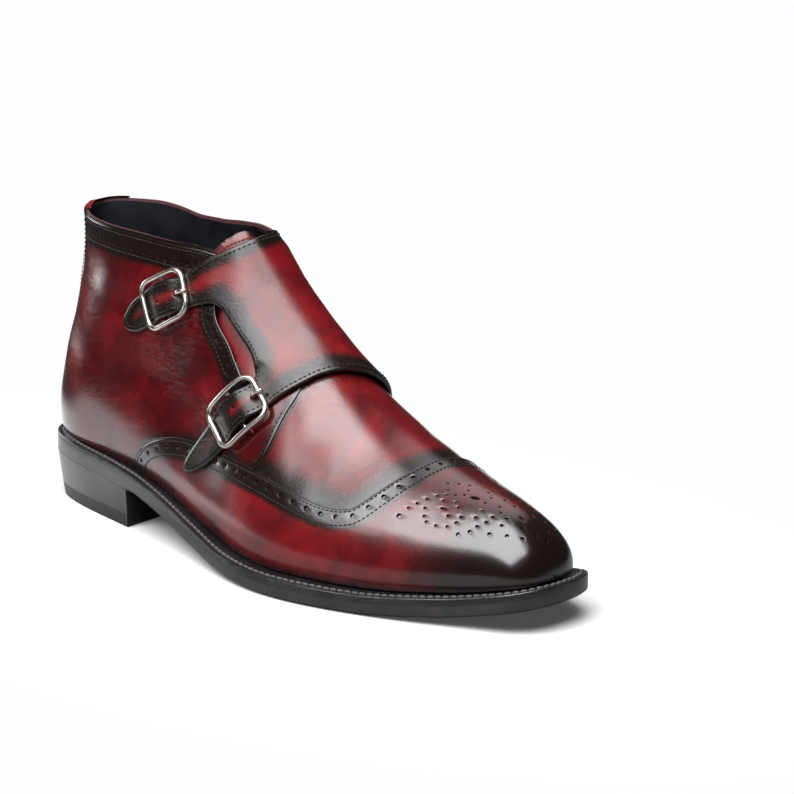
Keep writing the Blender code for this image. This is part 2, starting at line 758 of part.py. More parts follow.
def strap_loop(seat, tip, first_side):
    """Outline of one strap from its root round its tip, in chart shares."""
    rows = np.array(tip)
    side_s = np.linspace(STRAP_ROOT, rows[0, 0], 9)
    rounding = curve_through(np.vstack([rows, rows[::-1][1:] * (1, -1)]), 21)
    s = np.r_[side_s[:-1], rounding[:, 0], side_s[::-1][1:]]
    t = np.r_[np.full(8, STRAP_HALF), rounding[:, 1], np.full(8, -STRAP_HALF)]
    return np.stack(seat.chart_at(s, t * first_side), -1)


def flap_loop():
    """Outline of the whole monk strap in chart shares, once round."""
    upper, lower = BUCKLE_SEATS["upper"], BUCKLE_SEATS["lower"]
    base = np.array(FLAP_TOP[::-1][:1] + FLAP_BASE)
    parts = [
        np.array(FLAP_TOP)[::-1],
        strap_loop(upper, STRAP_TIPS["upper"], 1),
        np.array(FLAP_WINDOW),
        strap_loop(lower, STRAP_TIPS["lower"], 1),
        np.array(FLAP_FRONT)[::-1],
        base[::-1][:-1],
    ]
    return np.vstack(parts)


def strap_heights(points):
    """Underside and thickness of the monk strap at places on the last."""
    low = np.full(len(points), CURVED_GAP)
    thick = np.full(len(points), FLAP_THICKNESS)
    for seat in BUCKLE_SEATS.values():
        s, t = seat.flat(points)
        near = (abs(t) < 12) & (abs((points - seat.centre) @ seat.out) < 15)
        low = np.where(near, low + STRAP_HUMP * np.exp(-(s / HUMP_LENGTH)**2), low)
        slim = np.where(near, 1 - ease(14, 22, s), 0)
        thick = thick + (STRAP_THICKNESS - thick) * slim
    return low, thick


def build_monk_strap(leather):
    chart_loop = flap_loop()
    loop = evenly_spaced(chart_loop * CHART, 3.6)
    holes = []
    for seat in BUCKLE_SEATS.values():
        turns = np.arange(10) * math.pi / 5
        s = PRONG_HOLE + PRONG_HOLE_RADIUS * np.cos(turns)
        t = PRONG_HOLE_RADIUS * np.sin(turns)
        holes.append(np.stack(seat.chart_at(s, t), -1) * CHART)

    def face(share):
        def place(flat):
            around, up = (flat / CHART).T
            low, thick = strap_heights(LAST.point(around, up))
            return LAST.offset(around, up, low + share * thick)
        return place
    return slab("monk_strap", loop, 5.0, face(0.0), face(1.0), leather, holes)


def rounded_rectangle(length, width, corner, per_corner=5):
    """Closed path of a rectangle with round corners, s along and t across."""
    path = []
    for number in range(4):
        turn = math.pi / 2 * number
        sign_s, sign_t = ((1, 1), (-1, 1), (-1, -1), (1, -1))[number]
        centre = np.array([sign_s * (length / 2 - corner), sign_t * (width / 2 - corner)])
        for angle in np.linspace(turn, turn + math.pi / 2, per_corner):
            path.append(centre + corner * np.array([math.cos(angle), math.sin(angle)]))
    return np.array(path)


def build_buckle(name, seat, steel):
    """A frame with its dipped middle bar as one solid, and the prong."""
    path = rounded_rectangle(FRAME_LENGTH, FRAME_WIDTH, FRAME_CORNER)
    points = seat.place(path[:, 0], path[:, 1], FRAME_RISE)
    normals = LAST.normal(*seat.chart_at(path[:, 0], path[:, 1]))
    frame = tube(f"buckle_{name}", points, FRAME_WIRE, normals, steel, closed=True)

    across = np.array([-1.0, -0.86, -0.78, -0.4, 0.4, 0.78, 0.86, 1.0]) * FRAME_WIDTH / 2
    rises = np.array([FRAME_RISE, FRAME_RISE - 0.9, BAR_RISE, BAR_RISE,
                      BAR_RISE, BAR_RISE, FRAME_RISE - 0.9, FRAME_RISE])
    along = np.zeros(len(across))
    bar_points = seat.place(along, across, rises)
    bar = tube(f"buckle_bar_{name}", bar_points, BAR_WIRE,
               np.broadcast_to(seat.along, bar_points.shape), steel)
    bar.hide_render = True
    bar.display_type = 'WIRE'
    union = frame.modifiers.new("middle bar", 'BOOLEAN')
    union.operation = 'UNION'
    union.solver = 'EXACT'
    union.object = bar

    bar_top = FRAME_RISE + FRAME_WIRE
    along = PRONG_HOLE + np.array([0.0, 0.1, 1.6, 3.4, 5.2, 7.2])
    rises = np.array([0.95, 2.0, 4.4, bar_top + 1.15, bar_top + 1.2, bar_top + 0.9])
    prong = seat.place(along, np.zeros(len(along)), rises)
    tube(f"prong_{name}", prong, np.array([0.8, 0.8, 0.8, 0.8, 0.75, 0.6]),
         np.broadcast_to(seat.across, prong.shape), steel)


# ---------------------------------------------------------------- assembly

def clear_scene():
    for item in list(bpy.data.objects):
        bpy.data.objects.remove(item, do_unlink=True)


def main():
    clear_scene()
    burgundy = material("burgundy_calf", (0.115, 0.008, 0.010), 0.25)
    lining = material("black_lining", (0.012, 0.012, 0.016), 0.7)
    sole_black = material("black_sole_leather", (0.012, 0.012, 0.013), 0.4)
    welt_black = material("black_welt_leather", (0.016, 0.013, 0.012), 0.45)
    stack_black = material("black_stacked_leather", (0.013, 0.013, 0.015), 0.35)
    rubber = material("black_rubber", (0.02, 0.02, 0.02), 0.6)
    steel = material("polished_steel", (0.72, 0.68, 0.64), 0.15, 1.0)

    build_heel(stack_black, rubber)
    build_sole(sole_black, welt_black, lining)
    build_upper(burgundy)
    build_tongue(burgundy)
    build_monk_strap(burgundy)
    for name, seat in BUCKLE_SEATS.items():
        build_buckle(name, seat, steel)


main()
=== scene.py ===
"""Looks of a double monk strap boot, right foot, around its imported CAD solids.

+X runs from heel to toe, +Y to the inner (medial) side, +Z up.  The leather
is laid on the same last as the CAD upper: places on it are given as two
shares, `around` (-1 at the back seam, 0 on the crest, +1 at the back seam
again by the medial side) and `up` (0 at the welt, 1 at the collar), and
heights in millimetres stand off from it.
"""
import math
from functools import reduce

import bpy
import numpy as np
from bpy.props import FloatProperty, FloatVectorProperty, PointerProperty
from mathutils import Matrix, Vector
from mathutils.geometry import delaunay_2d_cdt


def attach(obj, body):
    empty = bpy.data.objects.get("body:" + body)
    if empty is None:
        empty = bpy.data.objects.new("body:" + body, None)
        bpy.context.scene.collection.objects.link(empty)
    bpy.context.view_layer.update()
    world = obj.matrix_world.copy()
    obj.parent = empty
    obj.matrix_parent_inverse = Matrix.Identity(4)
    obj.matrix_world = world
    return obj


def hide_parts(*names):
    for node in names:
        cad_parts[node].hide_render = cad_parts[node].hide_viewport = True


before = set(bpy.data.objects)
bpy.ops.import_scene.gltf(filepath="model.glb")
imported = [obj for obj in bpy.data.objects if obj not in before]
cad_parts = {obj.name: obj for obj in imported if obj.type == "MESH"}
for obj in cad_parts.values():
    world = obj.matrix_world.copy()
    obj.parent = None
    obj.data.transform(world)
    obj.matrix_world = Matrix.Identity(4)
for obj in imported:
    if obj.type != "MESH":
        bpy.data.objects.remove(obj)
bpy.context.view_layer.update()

bl_info = {
    "name": "Double monk strap boot",
    "version": (1, 0, 0),
    "blender": (4, 5, 0),
    "location": "View3D > Sidebar > Boot",
    "description": "Builds the leather, stitching, buckles and sole of the boot round its CAD solids",
    "category": "Object",
}

MM = 0.001

# Driving sizes of the last and the sole, in millimetres, as in the CAD model.
BOOT_LENGTH = 306.0
BALL_WIDTH = 104.0
INSTEP_HEIGHT = 103.5
COLLAR_HEIGHT = 132.0
HEEL_HEIGHT = 17.5
TOE_SPRING = 11.3
ORIGIN = (152.0, -5.4, 0.0)  # the CAD frame's origin, from the back of the heel
OUTSOLE_THICKNESS = 5.0
WELT_THICKNESS = 3.1
TOP_LIFT_THICKNESS = 6.0
UPPER_FOOT = 7.2  # width of the upper's foot that lies under the insole
GAP = 0.3
WELT_TOP = OUTSOLE_THICKNESS + GAP + WELT_THICKNESS

# along, lateral reach, medial reach: per cent of boot length and ball width
SOLE_OUTLINE = (
    (0.0, 0.0, 0.0), (2.0, 16.5, 16.5), (6.5, 24.0, 26.0), (13.7, 29.5, 30.5), (23.5, 34.5, 30.0),
    (34.3, 40.5, 28.5), (45.8, 49.0, 31.5), (56.2, 55.5, 39.5), (66.0, 54.5, 45.0),
    (75.8, 47.0, 44.0), (85.0, 37.0, 34.5), (92.8, 27.5, 27.0), (97.4, 21.0, 21.5),
    (99.4, 12.0, 12.5), (100.0, 0.0, 0.0),
)
# along, share of heel height, share of toe spring
SOLE_PROFILE = (
    (0.0, 126.0, 0.0), (24.5, 100.0, 0.0), (32.7, 75.0, 0.0), (42.5, 38.0, 0.0), (52.3, 9.0, 0.0),
    (62.0, 0.0, 0.0), (74.0, 0.0, 0.0), (86.6, 0.0, 28.0), (100.0, 0.0, 100.0),
)
# along, how far the upper stands inside the sole's edge in millimetres
UPPER_INSET = (
    (0.0, 1.6), (13.0, 3.0), (29.5, 5.0), (49.0, 6.0), (72.0, 6.5), (91.5, 6.0), (100.0, 6.2),
)
# along, height: per cent of boot length and instep height
CREST = (
    (98.0, 18.6), (97.5, 26.0), (94.8, 36.2), (88.2, 44.4), (80.0, 49.8), (72.0, 57.5),
    (63.7, 69.6), (56.2, 84.0), (49.0, 100.0), (40.2, 133.3),
)
# along, crest to the medial side in millimetres, fullness of the section
CREST_SHAPE = (
    (20.0, 3.0, 1.70), (42.5, 3.5, 1.73), (55.5, 3.5, 1.75), (68.6, 3.5, 2.00), (81.7, 3.0, 2.30),
    (98.0, 1.5, 2.50),
)
# height in per cent of collar height, place in millimetres
BACK_SEAM = (
    (22.7, -1.5), (31.8, -2.0), (44.0, 1.5), (59.0, 5.0), (74.0, 9.0), (88.0, 10.0), (100.0, 7.0),
)
# height, half width, centre to medial, length of back curve, of front curve
ANKLE_SECTIONS = (
    (19.7, 31.0, 0.5, 46.0, 60.0), (37.9, 31.0, 0.5, 48.0, 60.0), (56.8, 29.5, 1.5, 54.0, 64.0),
    (75.8, 28.5, 3.0, 66.0, 64.0), (90.9, 27.0, 4.5, 68.0, 74.0), (107.6, 28.0, 6.0, 72.0, 80.0),
)
# place in millimetres, height in per cent of collar height
COLLAR_EDGE = ((7.0, 100.0), (40.0, 100.2), (80.0, 99.6), (105.0, 99.8), (123.0, 104.5))
END_FULLNESS = 2.6  # how full the ends of a level section are, as an exponent
TUCK, TUCK_HEIGHT = 0.07, 5.0  # share by which the upper narrows at the welt, and over what height
SHAFT_RISE = (6, 45)  # heights over the welt between which the ankle's sections take over
SHAFT_REACH = (95, 165)  # places between which the ankle's sections give way to the foot's
HEEL_WIDTH_AT, HEEL_CENTRE_AT = 60.0, 30.0  # where the heel's own width and centre are taken


# ---------------------------------------------------------------- curves

def natural_spline(knots, values):
    """Cubic spline through values at knots, straight at both ends."""
    knots = np.asarray(knots, float)
    values = np.asarray(values, float)
    count = len(knots)
    step = np.diff(knots)
    system = np.zeros((count, count))
    right = np.zeros_like(values)
    system[0, 0] = system[-1, -1] = 1.0
    for i in range(1, count - 1):
        system[i, i - 1:i + 2] = step[i - 1], 2 * (step[i - 1] + step[i]), step[i]
        rise_after = (values[i + 1] - values[i]) / step[i]
        rise_before = (values[i] - values[i - 1]) / step[i - 1]
        right[i] = 6 * (rise_after - rise_before)
    bend = np.linalg.solve(system, right)

    def evaluate(x):
        x = np.asarray(x, float)
        i = np.clip(np.searchsorted(knots, x) - 1, 0, count - 2)
        width = step[i]
        before = (knots[i + 1] - x) / width
        after = (x - knots[i]) / width
        if values.ndim > 1:
            width, before, after = width[..., None], before[..., None], after[..., None]
        curve = before * values[i] + after * values[i + 1]
        curve += ((before**3 - before) * bend[i] + (after**3 - after) * bend[i + 1]) * width**2 / 6
        return curve
    return evaluate


def monotone_spline(knots, values):
    """Cubic curve through values at knots that never overshoots them."""
    knots = np.asarray(knots, float)
    values = np.asarray(values, float)
    step = np.diff(knots)
    rise = np.diff(values) / step
    slope = np.zeros(len(knots))
    slope[0], slope[-1] = rise[0], rise[-1]
    for i in range(1, len(knots) - 1):
        if rise[i - 1] * rise[i] > 0:
            near = 2 * step[i] + step[i - 1]
            far = step[i] + 2 * step[i - 1]
            slope[i] = (near + far) / (near / rise[i - 1] + far / rise[i])

    def evaluate(x):
        x = np.asarray(x, float)
        i = np.clip(np.searchsorted(knots, x) - 1, 0, len(knots) - 2)
        t = (x - knots[i]) / step[i]
        ends = (2 * t**3 - 3 * t**2 + 1) * values[i] + (3 * t**2 - 2 * t**3) * values[i + 1]
        bends = (t**3 - 2 * t**2 + t) * slope[i] + (t**3 - t**2) * slope[i + 1]
        return ends + step[i] * bends
    return evaluate


def run_along(points):
    """Length along a polyline up to each of its points."""
    return np.r_[0, np.cumsum(np.linalg.norm(np.diff(points, axis=0), axis=1))]


def places_at(steps, run, points):
    """Places on a polyline at the given steps, where run holds each point's own step."""
    return np.stack([np.interp(steps, run, column) for column in points.T], -1)


def curve_through(points, samples, closed=False):
    """Evenly stepped samples of a smooth curve through the points."""
    points = np.asarray(points, float)
    if closed:
        points = np.vstack([points[-4:], points, points[:5]])
    run = run_along(points)
    smooth = natural_spline(run, points)
    first, last = (run[4], run[-5]) if closed else (run[0], run[-1])
    return smooth(np.linspace(first, last, samples, endpoint=not closed))


def by_length(points):
    """A curve as a function of the share of its own length, 0 to 1."""
    run = run_along(points)
    run /= run[-1]
    return lambda share: places_at(share, run, points)


def ease(low, high, x):
    """0 below low, 1 above high, smooth between."""
    t = np.clip((x - low) / (high - low), 0, 1)
    return t * t * (3 - 2 * t)


def round_off(distance, length):
    """Rises from 0 at a rounded end to 1 at the given length from it."""
    return np.sqrt(np.maximum(1 - (1 - np.clip(distance / length, 0, 1))**END_FULLNESS, 0))


def unit(vectors):
    """Vectors of the same way, one long."""
    return vectors / np.linalg.norm(vectors, axis=-1, keepdims=True)


def circle_angles(count):
    """Even angles once round a circle."""
    return np.arange(count) * 2 * math.pi / count


def shares(around, up):
    """Both numbers of some places, as arrays of one shape."""
    return np.broadcast_arrays(np.asarray(around, float), np.asarray(up, float))


def wrapped(around):
    """A share around the boot, brought between -1 and 1."""
    return (around + 1) % 2 - 1


def constant(value):
    """A height that is the same at all places."""
    return lambda *places: np.full(np.shape(places[0]), float(value))


# ---------------------------------------------------------------- loops

def full_turn(loop):
    """A loop with its first place again at its end."""
    return np.vstack([loop, loop[:1]])


def is_left_turning(loop):
    """Whether a loop has its inside on its left, seen from outside the boot."""
    x, y = loop.T
    return (x * np.roll(y, -1) - np.roll(x, -1) * y).sum() > 0


def resampled(loop, count):
    """A closed flat loop at even steps."""
    loop = full_turn(loop)
    run = run_along(loop)
    return places_at(np.arange(count) * run[-1] / count, run, loop)


def inward(loop):
    """Unit vectors toward the inside of a left-turning flat loop, one at each point."""
    ahead = np.roll(loop, -1, 0) - np.roll(loop, 1, 0)
    return unit(np.c_[-ahead[:, 1], ahead[:, 0]])


def shrunk(loop, distance):
    """A left-turning flat loop moved inside by a distance, the same or one for each point."""
    return loop + inward(loop) * np.broadcast_to(distance, len(loop))[:, None]


# ---------------------------------------------------------------- the last

def sole_outline(samples=600):
    """Outline of the sole from the heel back, along the lateral side first."""
    table = np.array(SOLE_OUTLINE) * (BOOT_LENGTH / 100, BALL_WIDTH / 100, BALL_WIDTH / 100)
    lateral = np.c_[table[:, 0], -table[:, 1]]
    medial = np.c_[table[:, 0], table[:, 2]][::-1][1:-1]
    return curve_through(np.vstack([lateral, medial]), samples, closed=True)


OUTLINE = sole_outline()
SOLE_TABLE = np.array(SOLE_PROFILE)
UNDERSIDE = monotone_spline(
    SOLE_TABLE[:, 0] / 100 * BOOT_LENGTH,
    SOLE_TABLE[:, 1] / 100 * HEEL_HEIGHT + SOLE_TABLE[:, 2] / 100 * TOE_SPRING)


def underside(x):
    """Height of the sole's underside above the floor."""
    return UNDERSIDE(np.clip(x, 0, BOOT_LENGTH))


def upper_outline(extra=0.0):
    """Outline of the upper at the welt, moved inside by a further distance."""
    table = np.array(UPPER_INSET)
    inset = np.interp(OUTLINE[:, 0], table[:, 0] / 100 * BOOT_LENGTH, table[:, 1])
    return shrunk(OUTLINE, inset + extra)


class Last:
    """Outer surface of the upper as a function of the shares around and up."""

    def __init__(self):
        foot = upper_outline()
        foot = np.roll(foot, -foot[:, 0].argmin(), axis=0)
        tip = foot[:, 0].argmax()
        self.heel, self.toe = foot[0], foot[tip]
        self.lateral = foot[:tip + 1]
        self.medial = np.vstack([foot[tip:], foot[:1]])[::-1]

        crest = np.array(CREST) / 100 * (BOOT_LENGTH, INSTEP_HEIGHT)
        self.crest = curve_through(crest, 1500)
        shape = np.array(CREST_SHAPE)
        self.crest_side = natural_spline(shape[:, 0] / 100 * BOOT_LENGTH, shape[:, 1])
        self.fullness = monotone_spline(shape[:, 0] / 100 * BOOT_LENGTH, shape[:, 2])
        self.shape_ends = shape[[0, -1], 0] / 100 * BOOT_LENGTH

        seam = np.array(BACK_SEAM)
        self.back_place = natural_spline(seam[:, 0] / 100 * COLLAR_HEIGHT, seam[:, 1])
        ankle = np.array(ANKLE_SECTIONS)
        self.ankle_ends = ankle[[0, -1], 0] / 100 * COLLAR_HEIGHT
        self.ankle = natural_spline(ankle[:, 0] / 100 * COLLAR_HEIGHT, ankle[:, 1:])

        welt_height = underside(self.heel[0]) + WELT_TOP
        heights = np.linspace(welt_height, COLLAR_HEIGHT, 400)
        self.back = by_length(np.c_[self.back_place(heights), heights])
        along = np.linspace(self.back_place(welt_height), self.crest[0, 0], 600)
        self.feather = by_length(np.c_[along, underside(along) + WELT_TOP])
        edge = np.array(COLLAR_EDGE) * (1, COLLAR_HEIGHT / 100)
        self.collar = by_length(curve_through(edge, 400))
        self.front = by_length(self.crest)
        self.front_length = run_along(self.crest)[-1]

    def plan(self, x):
        """Half width and centre of the upper at the welt, at place x."""
        axis = np.transpose([self.heel, self.toe])
        x = np.clip(x, *axis[0])
        reach = []
        for side in (self.lateral, self.medial):
            from_axis = side[:, 1] - np.interp(side[:, 0], *axis)
            reach.append(np.sqrt(np.interp(x, side[:, 0], from_axis**2)))
        return (reach[0] + reach[1]) / 2, (reach[1] - reach[0]) / 2 + np.interp(x, *axis)

    def section(self, x, z):
        """Half width and centre of the upper at place x and height z."""
        crest_x, crest_z = self.crest[::-1, 0], self.crest[::-1, 1]
        lean = (crest_z[0] - crest_z[25]) / (crest_x[0] - crest_x[25])
        over = np.interp(x, crest_x, crest_z)
        over = np.where(x < crest_x[0], crest_z[0] + lean * (x - crest_x[0]), over)
        ahead = np.interp(-z, -crest_z, crest_x)
        ahead = np.where(z > crest_z[0], crest_x[0] + (z - crest_z[0]) / lean, ahead)

        rise = z - underside(x) - WELT_TOP
        tuck = 1 - TUCK * np.exp(-np.maximum(rise, 0) / TUCK_HEIGHT)
        half, centre = self.plan(x)
        share = np.clip(rise / np.maximum(over - underside(x) - WELT_TOP, 1e-3), 1e-6, 1)
        power = self.fullness(np.clip(x, *self.shape_ends))
        foot_half = half * tuck * np.sqrt(np.maximum(1 - share**power, 0))
        side = self.crest_side(np.clip(x, *self.shape_ends))
        foot_centre = centre + (side - centre) * ease(0.1, 1.0, share)

        level = self.ankle(np.clip(z, *self.ankle_ends))
        lift = ease(*SHAFT_RISE, rise)
        low_half = np.where(x < HEEL_WIDTH_AT, self.plan(HEEL_WIDTH_AT)[0], half)
        low_centre = np.where(x < HEEL_CENTRE_AT, self.plan(HEEL_CENTRE_AT)[1], centre)
        shaft_half = ((1 - lift) * low_half + lift * level[..., 0]) * tuck
        shaft_half = shaft_half * round_off(x - self.back_place(z), level[..., 2])
        shaft_half = shaft_half * round_off(ahead - x, level[..., 3])
        shaft_centre = (1 - lift) * low_centre + lift * level[..., 1]

        forward = ease(*SHAFT_REACH, x)
        return ((1 - forward) * shaft_half + forward * foot_half,
                (1 - forward) * shaft_centre + forward * foot_centre)

    def point(self, around, up):
        """Points of the outer surface; up past 1 goes straight above the collar."""
        around, up = shares(around, up)
        around = wrapped(around)
        share = (1 + np.cos(math.pi * around)) / 2
        level = np.clip(up, 0, 1)
        s, v = share[..., None], level[..., None]
        place = (1 - v) * self.feather(share) + v * self.collar(share)
        place += (1 - s) * self.back(level) + s * self.front(level)
        corners = (1 - v) * ((1 - s) * self.feather(0.0) + s * self.feather(1.0))
        corners += v * ((1 - s) * self.collar(0.0) + s * self.collar(1.0))
        place -= corners
        x = place[..., 0]
        z = place[..., 1] + np.maximum(up - 1, 0) * COLLAR_HEIGHT
        half, centre = self.section(x, z)
        half = np.where((share < 1e-9) | (share > 1 - 1e-9), 0, half)
        return np.stack([x, centre + np.sign(around) * half, z], -1)

    def slopes(self, around, up):
        """Movement of the surface per share of around and per share of up."""
        small = 2e-3
        around, up = shares(around, up)
        by_around = (self.point(around + small, up) - self.point(around - small, up)) / (2 * small)
        low, high = np.clip(up - small, 0, 1 - small), np.clip(up + small, small, 1)
        by_up = (self.point(around, high) - self.point(around, low)) / (high - low)[..., None]
        return by_around, by_up

    def normal(self, around, up):
        """Outward unit normals of the outer surface."""
        return unit(np.cross(*self.slopes(around, up)))

    def offset(self, around, up, height):
        """Points that stand proud of the outer surface by height."""
        return self.point(around, up) + self.normal(around, up) * np.asarray(height)[..., None]

    def shares_for(self, around, up, move):
        """Change of around and up that carries a point by a small move in mm."""
        by_around, by_up = self.slopes(around, up)
        aa = (by_around * by_around).sum(-1)
        uu = (by_up * by_up).sum(-1)
        au = (by_around * by_up).sum(-1)
        ma = (by_around * move).sum(-1)
        mu = (by_up * move).sum(-1)
        size = aa * uu - au * au
        return np.stack([(uu * ma - au * mu) / size, (aa * mu - au * ma) / size], -1)


LAST = Last()

BACK_SLIMMING = 1.3  # how far the upper stands in at the back of the collar, in mm
COLLAR_HEIGHT_ABOVE_WELT = 102.0

# Soft troughs (negative) and ridges of the worn-in leather.
#   around, up at both ends, width in mm, height in mm
CREASES = (
    ((-0.62, 0.47), (-0.44, 0.60), 7.0, -0.55),
    ((-0.90, 0.56), (-0.66, 0.42), 9.0, -0.60),
    ((-0.78, 0.74), (-0.56, 0.62), 8.0, 0.35),
    ((-0.55, 0.36), (-0.46, 0.50), 5.0, -0.30),
    ((-0.37, 0.15), (-0.22, 0.19), 20.0, 0.6),
    ((0.10, 0.44), (0.24, 0.40), 6.0, -0.35),
    ((-0.19, 0.70), (-0.05, 0.76), 7.0, -0.35),
    ((0.36, 0.50), (0.60, 0.40), 8.0, -0.50),
    ((0.55, 0.66), (0.85, 0.50), 9.0, -0.45),
)
# Swell of the flap over the instep: up, height in mm.
INSTEP_SWELL = monotone_spline(
    (0.50, 0.60, 0.68, 0.75, 0.80, 0.85, 0.90, 0.95, 0.99, 1.02),
    (0.0, 0.5, 1.0, 2.0, 2.2, 1.6, 0.7, -0.9, -3.1, -3.6))


def relief(around, up):
    """Height of the leather's soft creases and swells, the same for all layers."""
    places = LAST.point(around, up)
    height = np.zeros(places.shape[:-1])
    for start, end, width, rise in CREASES:
        first, last = LAST.point(*start), LAST.point(*end)
        side = last - first
        t = np.clip(((places - first) @ side) / (side @ side), 0, 1)
        gap = np.linalg.norm(places - first - t[..., None] * side, axis=-1)
        height += rise * np.exp(-(gap / width)**2) * np.sin(math.pi * (0.12 + 0.76 * t))
    x, z = places[..., 0], places[..., 2]
    height += 0.10 * np.sin(0.21 * x + 0.09 * z + 1.3) * np.sin(0.16 * z - 0.06 * x + 0.4)
    height *= ease(0.04, 0.15, up)
    swell = INSTEP_SWELL(np.clip(up, 0.50, 1.02))
    height += swell * ease(-0.12, 0.08, around) * (1 - ease(0.30, 0.50, around))
    return height - BACK_SLIMMING * ease(0.72, 1.0, up) * ease(0.55, 0.80, abs(wrapped(around)))


# Height of the collar's rim, as a share of the last's height, round the ankle.
RIM = (
    (-1.0, 1.012), (-0.93, 1.006), (-0.85, 1.001), (-0.60, 1.0), (-0.31, 1.0), (-0.27, 0.992),
    (-0.235, 0.982), (-0.20, 0.974), (-0.05, 0.972), (0.10, 0.975), (0.20, 0.985), (0.26, 1.006),
    (0.33, 1.013), (0.42, 1.000), (0.50, 0.988), (0.57, 0.985), (0.65, 1.004), (0.72, 1.014),
    (0.85, 1.016), (1.0, 1.012),
)
RIM_CURVE = monotone_spline(*np.transpose(RIM))


def rim_at(around):
    """Height of the collar's rim as a share of the last's."""
    return RIM_CURVE(wrapped(around))


def rimmed(around, up):
    """Moves places near up = 1 so that they follow the collar's rim."""
    around, up = shares(around, up)
    return up + (rim_at(around) - 1) * ease(0.88, 1.0, up)


def skin(around, up, height):
    """Points at a height over the last with its creases, never under the welt's top."""
    points = LAST.offset(around, up, np.asarray(height) + relief(around, up))
    floor = underside(points[..., 0]) + WELT_TOP + 0.05
    points[..., 2] = np.maximum(points[..., 2], floor)
    return points


def space(chart, height=0.0):
    """Skin points of chart places given as rows of around and up."""
    chart = np.asarray(chart, float)
    return skin(*chart.T, np.broadcast_to(height, len(chart)))


# ---------------------------------------------------------------- seams on the last

SEAM_STEP = 1.6  # usual distance between the places of a seam, in mm
SIDE_STEP = 1.5  # longest single move of a line that is carried sideways
SIDE_KEPT = 0.93  # share of the distance that a carried place has to keep
HOLE_SIDES = 10


def seam(points, step=SEAM_STEP):
    """Chart places along a smooth line through points, at about step mm."""
    smooth = curve_through(points, 400)
    run = run_along(LAST.point(*smooth.T))
    steps = np.linspace(0, run[-1], max(3, int(round(run[-1] / step)) + 1))
    return places_at(steps, run, smooth)


def stepped(chart, step, start=0.0):
    """Chart places at even steps in mm along a chart polyline, start from its ends or more."""
    run = run_along(LAST.point(*chart.T))
    count = max(1, int((run[-1] - 2 * start) // step))
    first = (run[-1] - count * step) / 2
    steps = first + step * np.arange(count + 1)
    return places_at(steps, run, chart)


def directions(chart):
    """Unit vectors along a chart polyline and to its left, on the surface."""
    along = unit(np.gradient(LAST.point(*chart.T), axis=0))
    return along, unit(np.cross(LAST.normal(*chart.T), along))


def beside(chart, distance):
    """Line that runs beside a chart polyline, to its left by distance in mm."""
    dense = stepped(chart, SEAM_STEP / 2)
    moves = max(1, int(abs(distance) / SIDE_STEP))
    _, left = directions(dense)
    moved = dense
    for _ in range(moves):
        moved = moved + LAST.shares_for(*moved.T, left * distance / moves)
    moved = moved[surface_gap(dense, moved) > SIDE_KEPT * abs(distance)]
    return stepped(moved, SEAM_STEP)


def nearest(line, points):
    """Distance from points to a polyline, and the run along it there."""
    best = np.full(len(points), np.inf)
    run = np.zeros(len(points))
    lengths = run_along(line)
    for start, end, before in zip(line[:-1], line[1:], lengths):
        side = end - start
        size = max(side @ side, 1e-12)
        t = np.clip((points - start) @ side / size, 0, 1)
        gap = ((points - start - t[:, None] * side)**2).sum(1)
        closer = gap < best
        best = np.where(closer, gap, best)
        run = np.where(closer, before + t * math.sqrt(size), run)
    return np.sqrt(best), run


def surface_gap(line, places):
    """Distance in mm from chart places to a chart polyline."""
    return nearest(LAST.point(*line.T), LAST.point(*places.T))[0]


def round_hole(place, along, size, width):
    """Chart loop of a round or oval hole at a place, long side along a vector."""
    across = np.cross(LAST.normal(*place), along)
    turns = circle_angles(HOLE_SIDES)[:, None]
    move = np.cos(turns) * along * size + np.sin(turns) * across * width
    return place + LAST.shares_for(*(np.full(HOLE_SIDES, share) for share in place), move)


# Upper edge of the wing tip, from the welt on the lateral side over the crest
# to the welt on the medial side.
WING_EDGE = (
    (-0.668, 0.0), (-0.664, 0.025), (-0.652, 0.070), (-0.626, 0.141), (-0.590, 0.215),
    (-0.557, 0.270), (-0.515, 0.314), (-0.460, 0.342), (-0.405, 0.350), (-0.366, 0.334),
    (-0.336, 0.296), (-0.317, 0.256), (-0.302, 0.233), (-0.285, 0.227), (-0.257, 0.246),
    (-0.197, 0.303), (-0.129, 0.346), (-0.060, 0.371), (0.0, 0.379), (0.060, 0.370),
    (0.120, 0.346), (0.170, 0.315), (0.220, 0.280), (0.250, 0.262), (0.270, 0.262), (0.286, 0.280),
    (0.298, 0.325), (0.303, 0.380), (0.318, 0.430), (0.350, 0.455), (0.400, 0.450),
    (0.455, 0.425), (0.510, 0.375), (0.560, 0.300), (0.600, 0.210), (0.632, 0.120),
    (0.652, 0.050), (0.658, 0.0),
)
# Front edge of the lateral quarter below the flap, down to the wing.
LOW_SEAM = (
    (-0.160, 0.645), (-0.183, 0.622), (-0.221, 0.588), (-0.267, 0.533), (-0.309, 0.469),
    (-0.345, 0.405), (-0.380, 0.346),
)
# Front edge of the lateral quarter beside the throat, from the collar down.
THROAT_SEAM = (
    (-0.222, 0.968), (-0.238, 0.930), (-0.262, 0.885), (-0.284, 0.845), (-0.289, 0.810),
    (-0.285, 0.775), (-0.292, 0.722), (-0.300, 0.672),
)
# Upper edge of the quarters under the collar strip.
COLLAR_SEAM_LATERAL = (
    (-1.0, 1.004), (-0.93, 0.998), (-0.85, 0.993), (-0.60, 0.992), (-0.44, 0.992), (-0.34, 0.991),
    (-0.28, 0.986), (-0.222, 0.968),
)
COLLAR_SEAM_MEDIAL = (
    (0.330, 1.004), (0.42, 0.992), (0.50, 0.980), (0.57, 0.978), (0.65, 0.996), (0.72, 1.006),
    (0.85, 1.008), (1.0, 1.004),
)
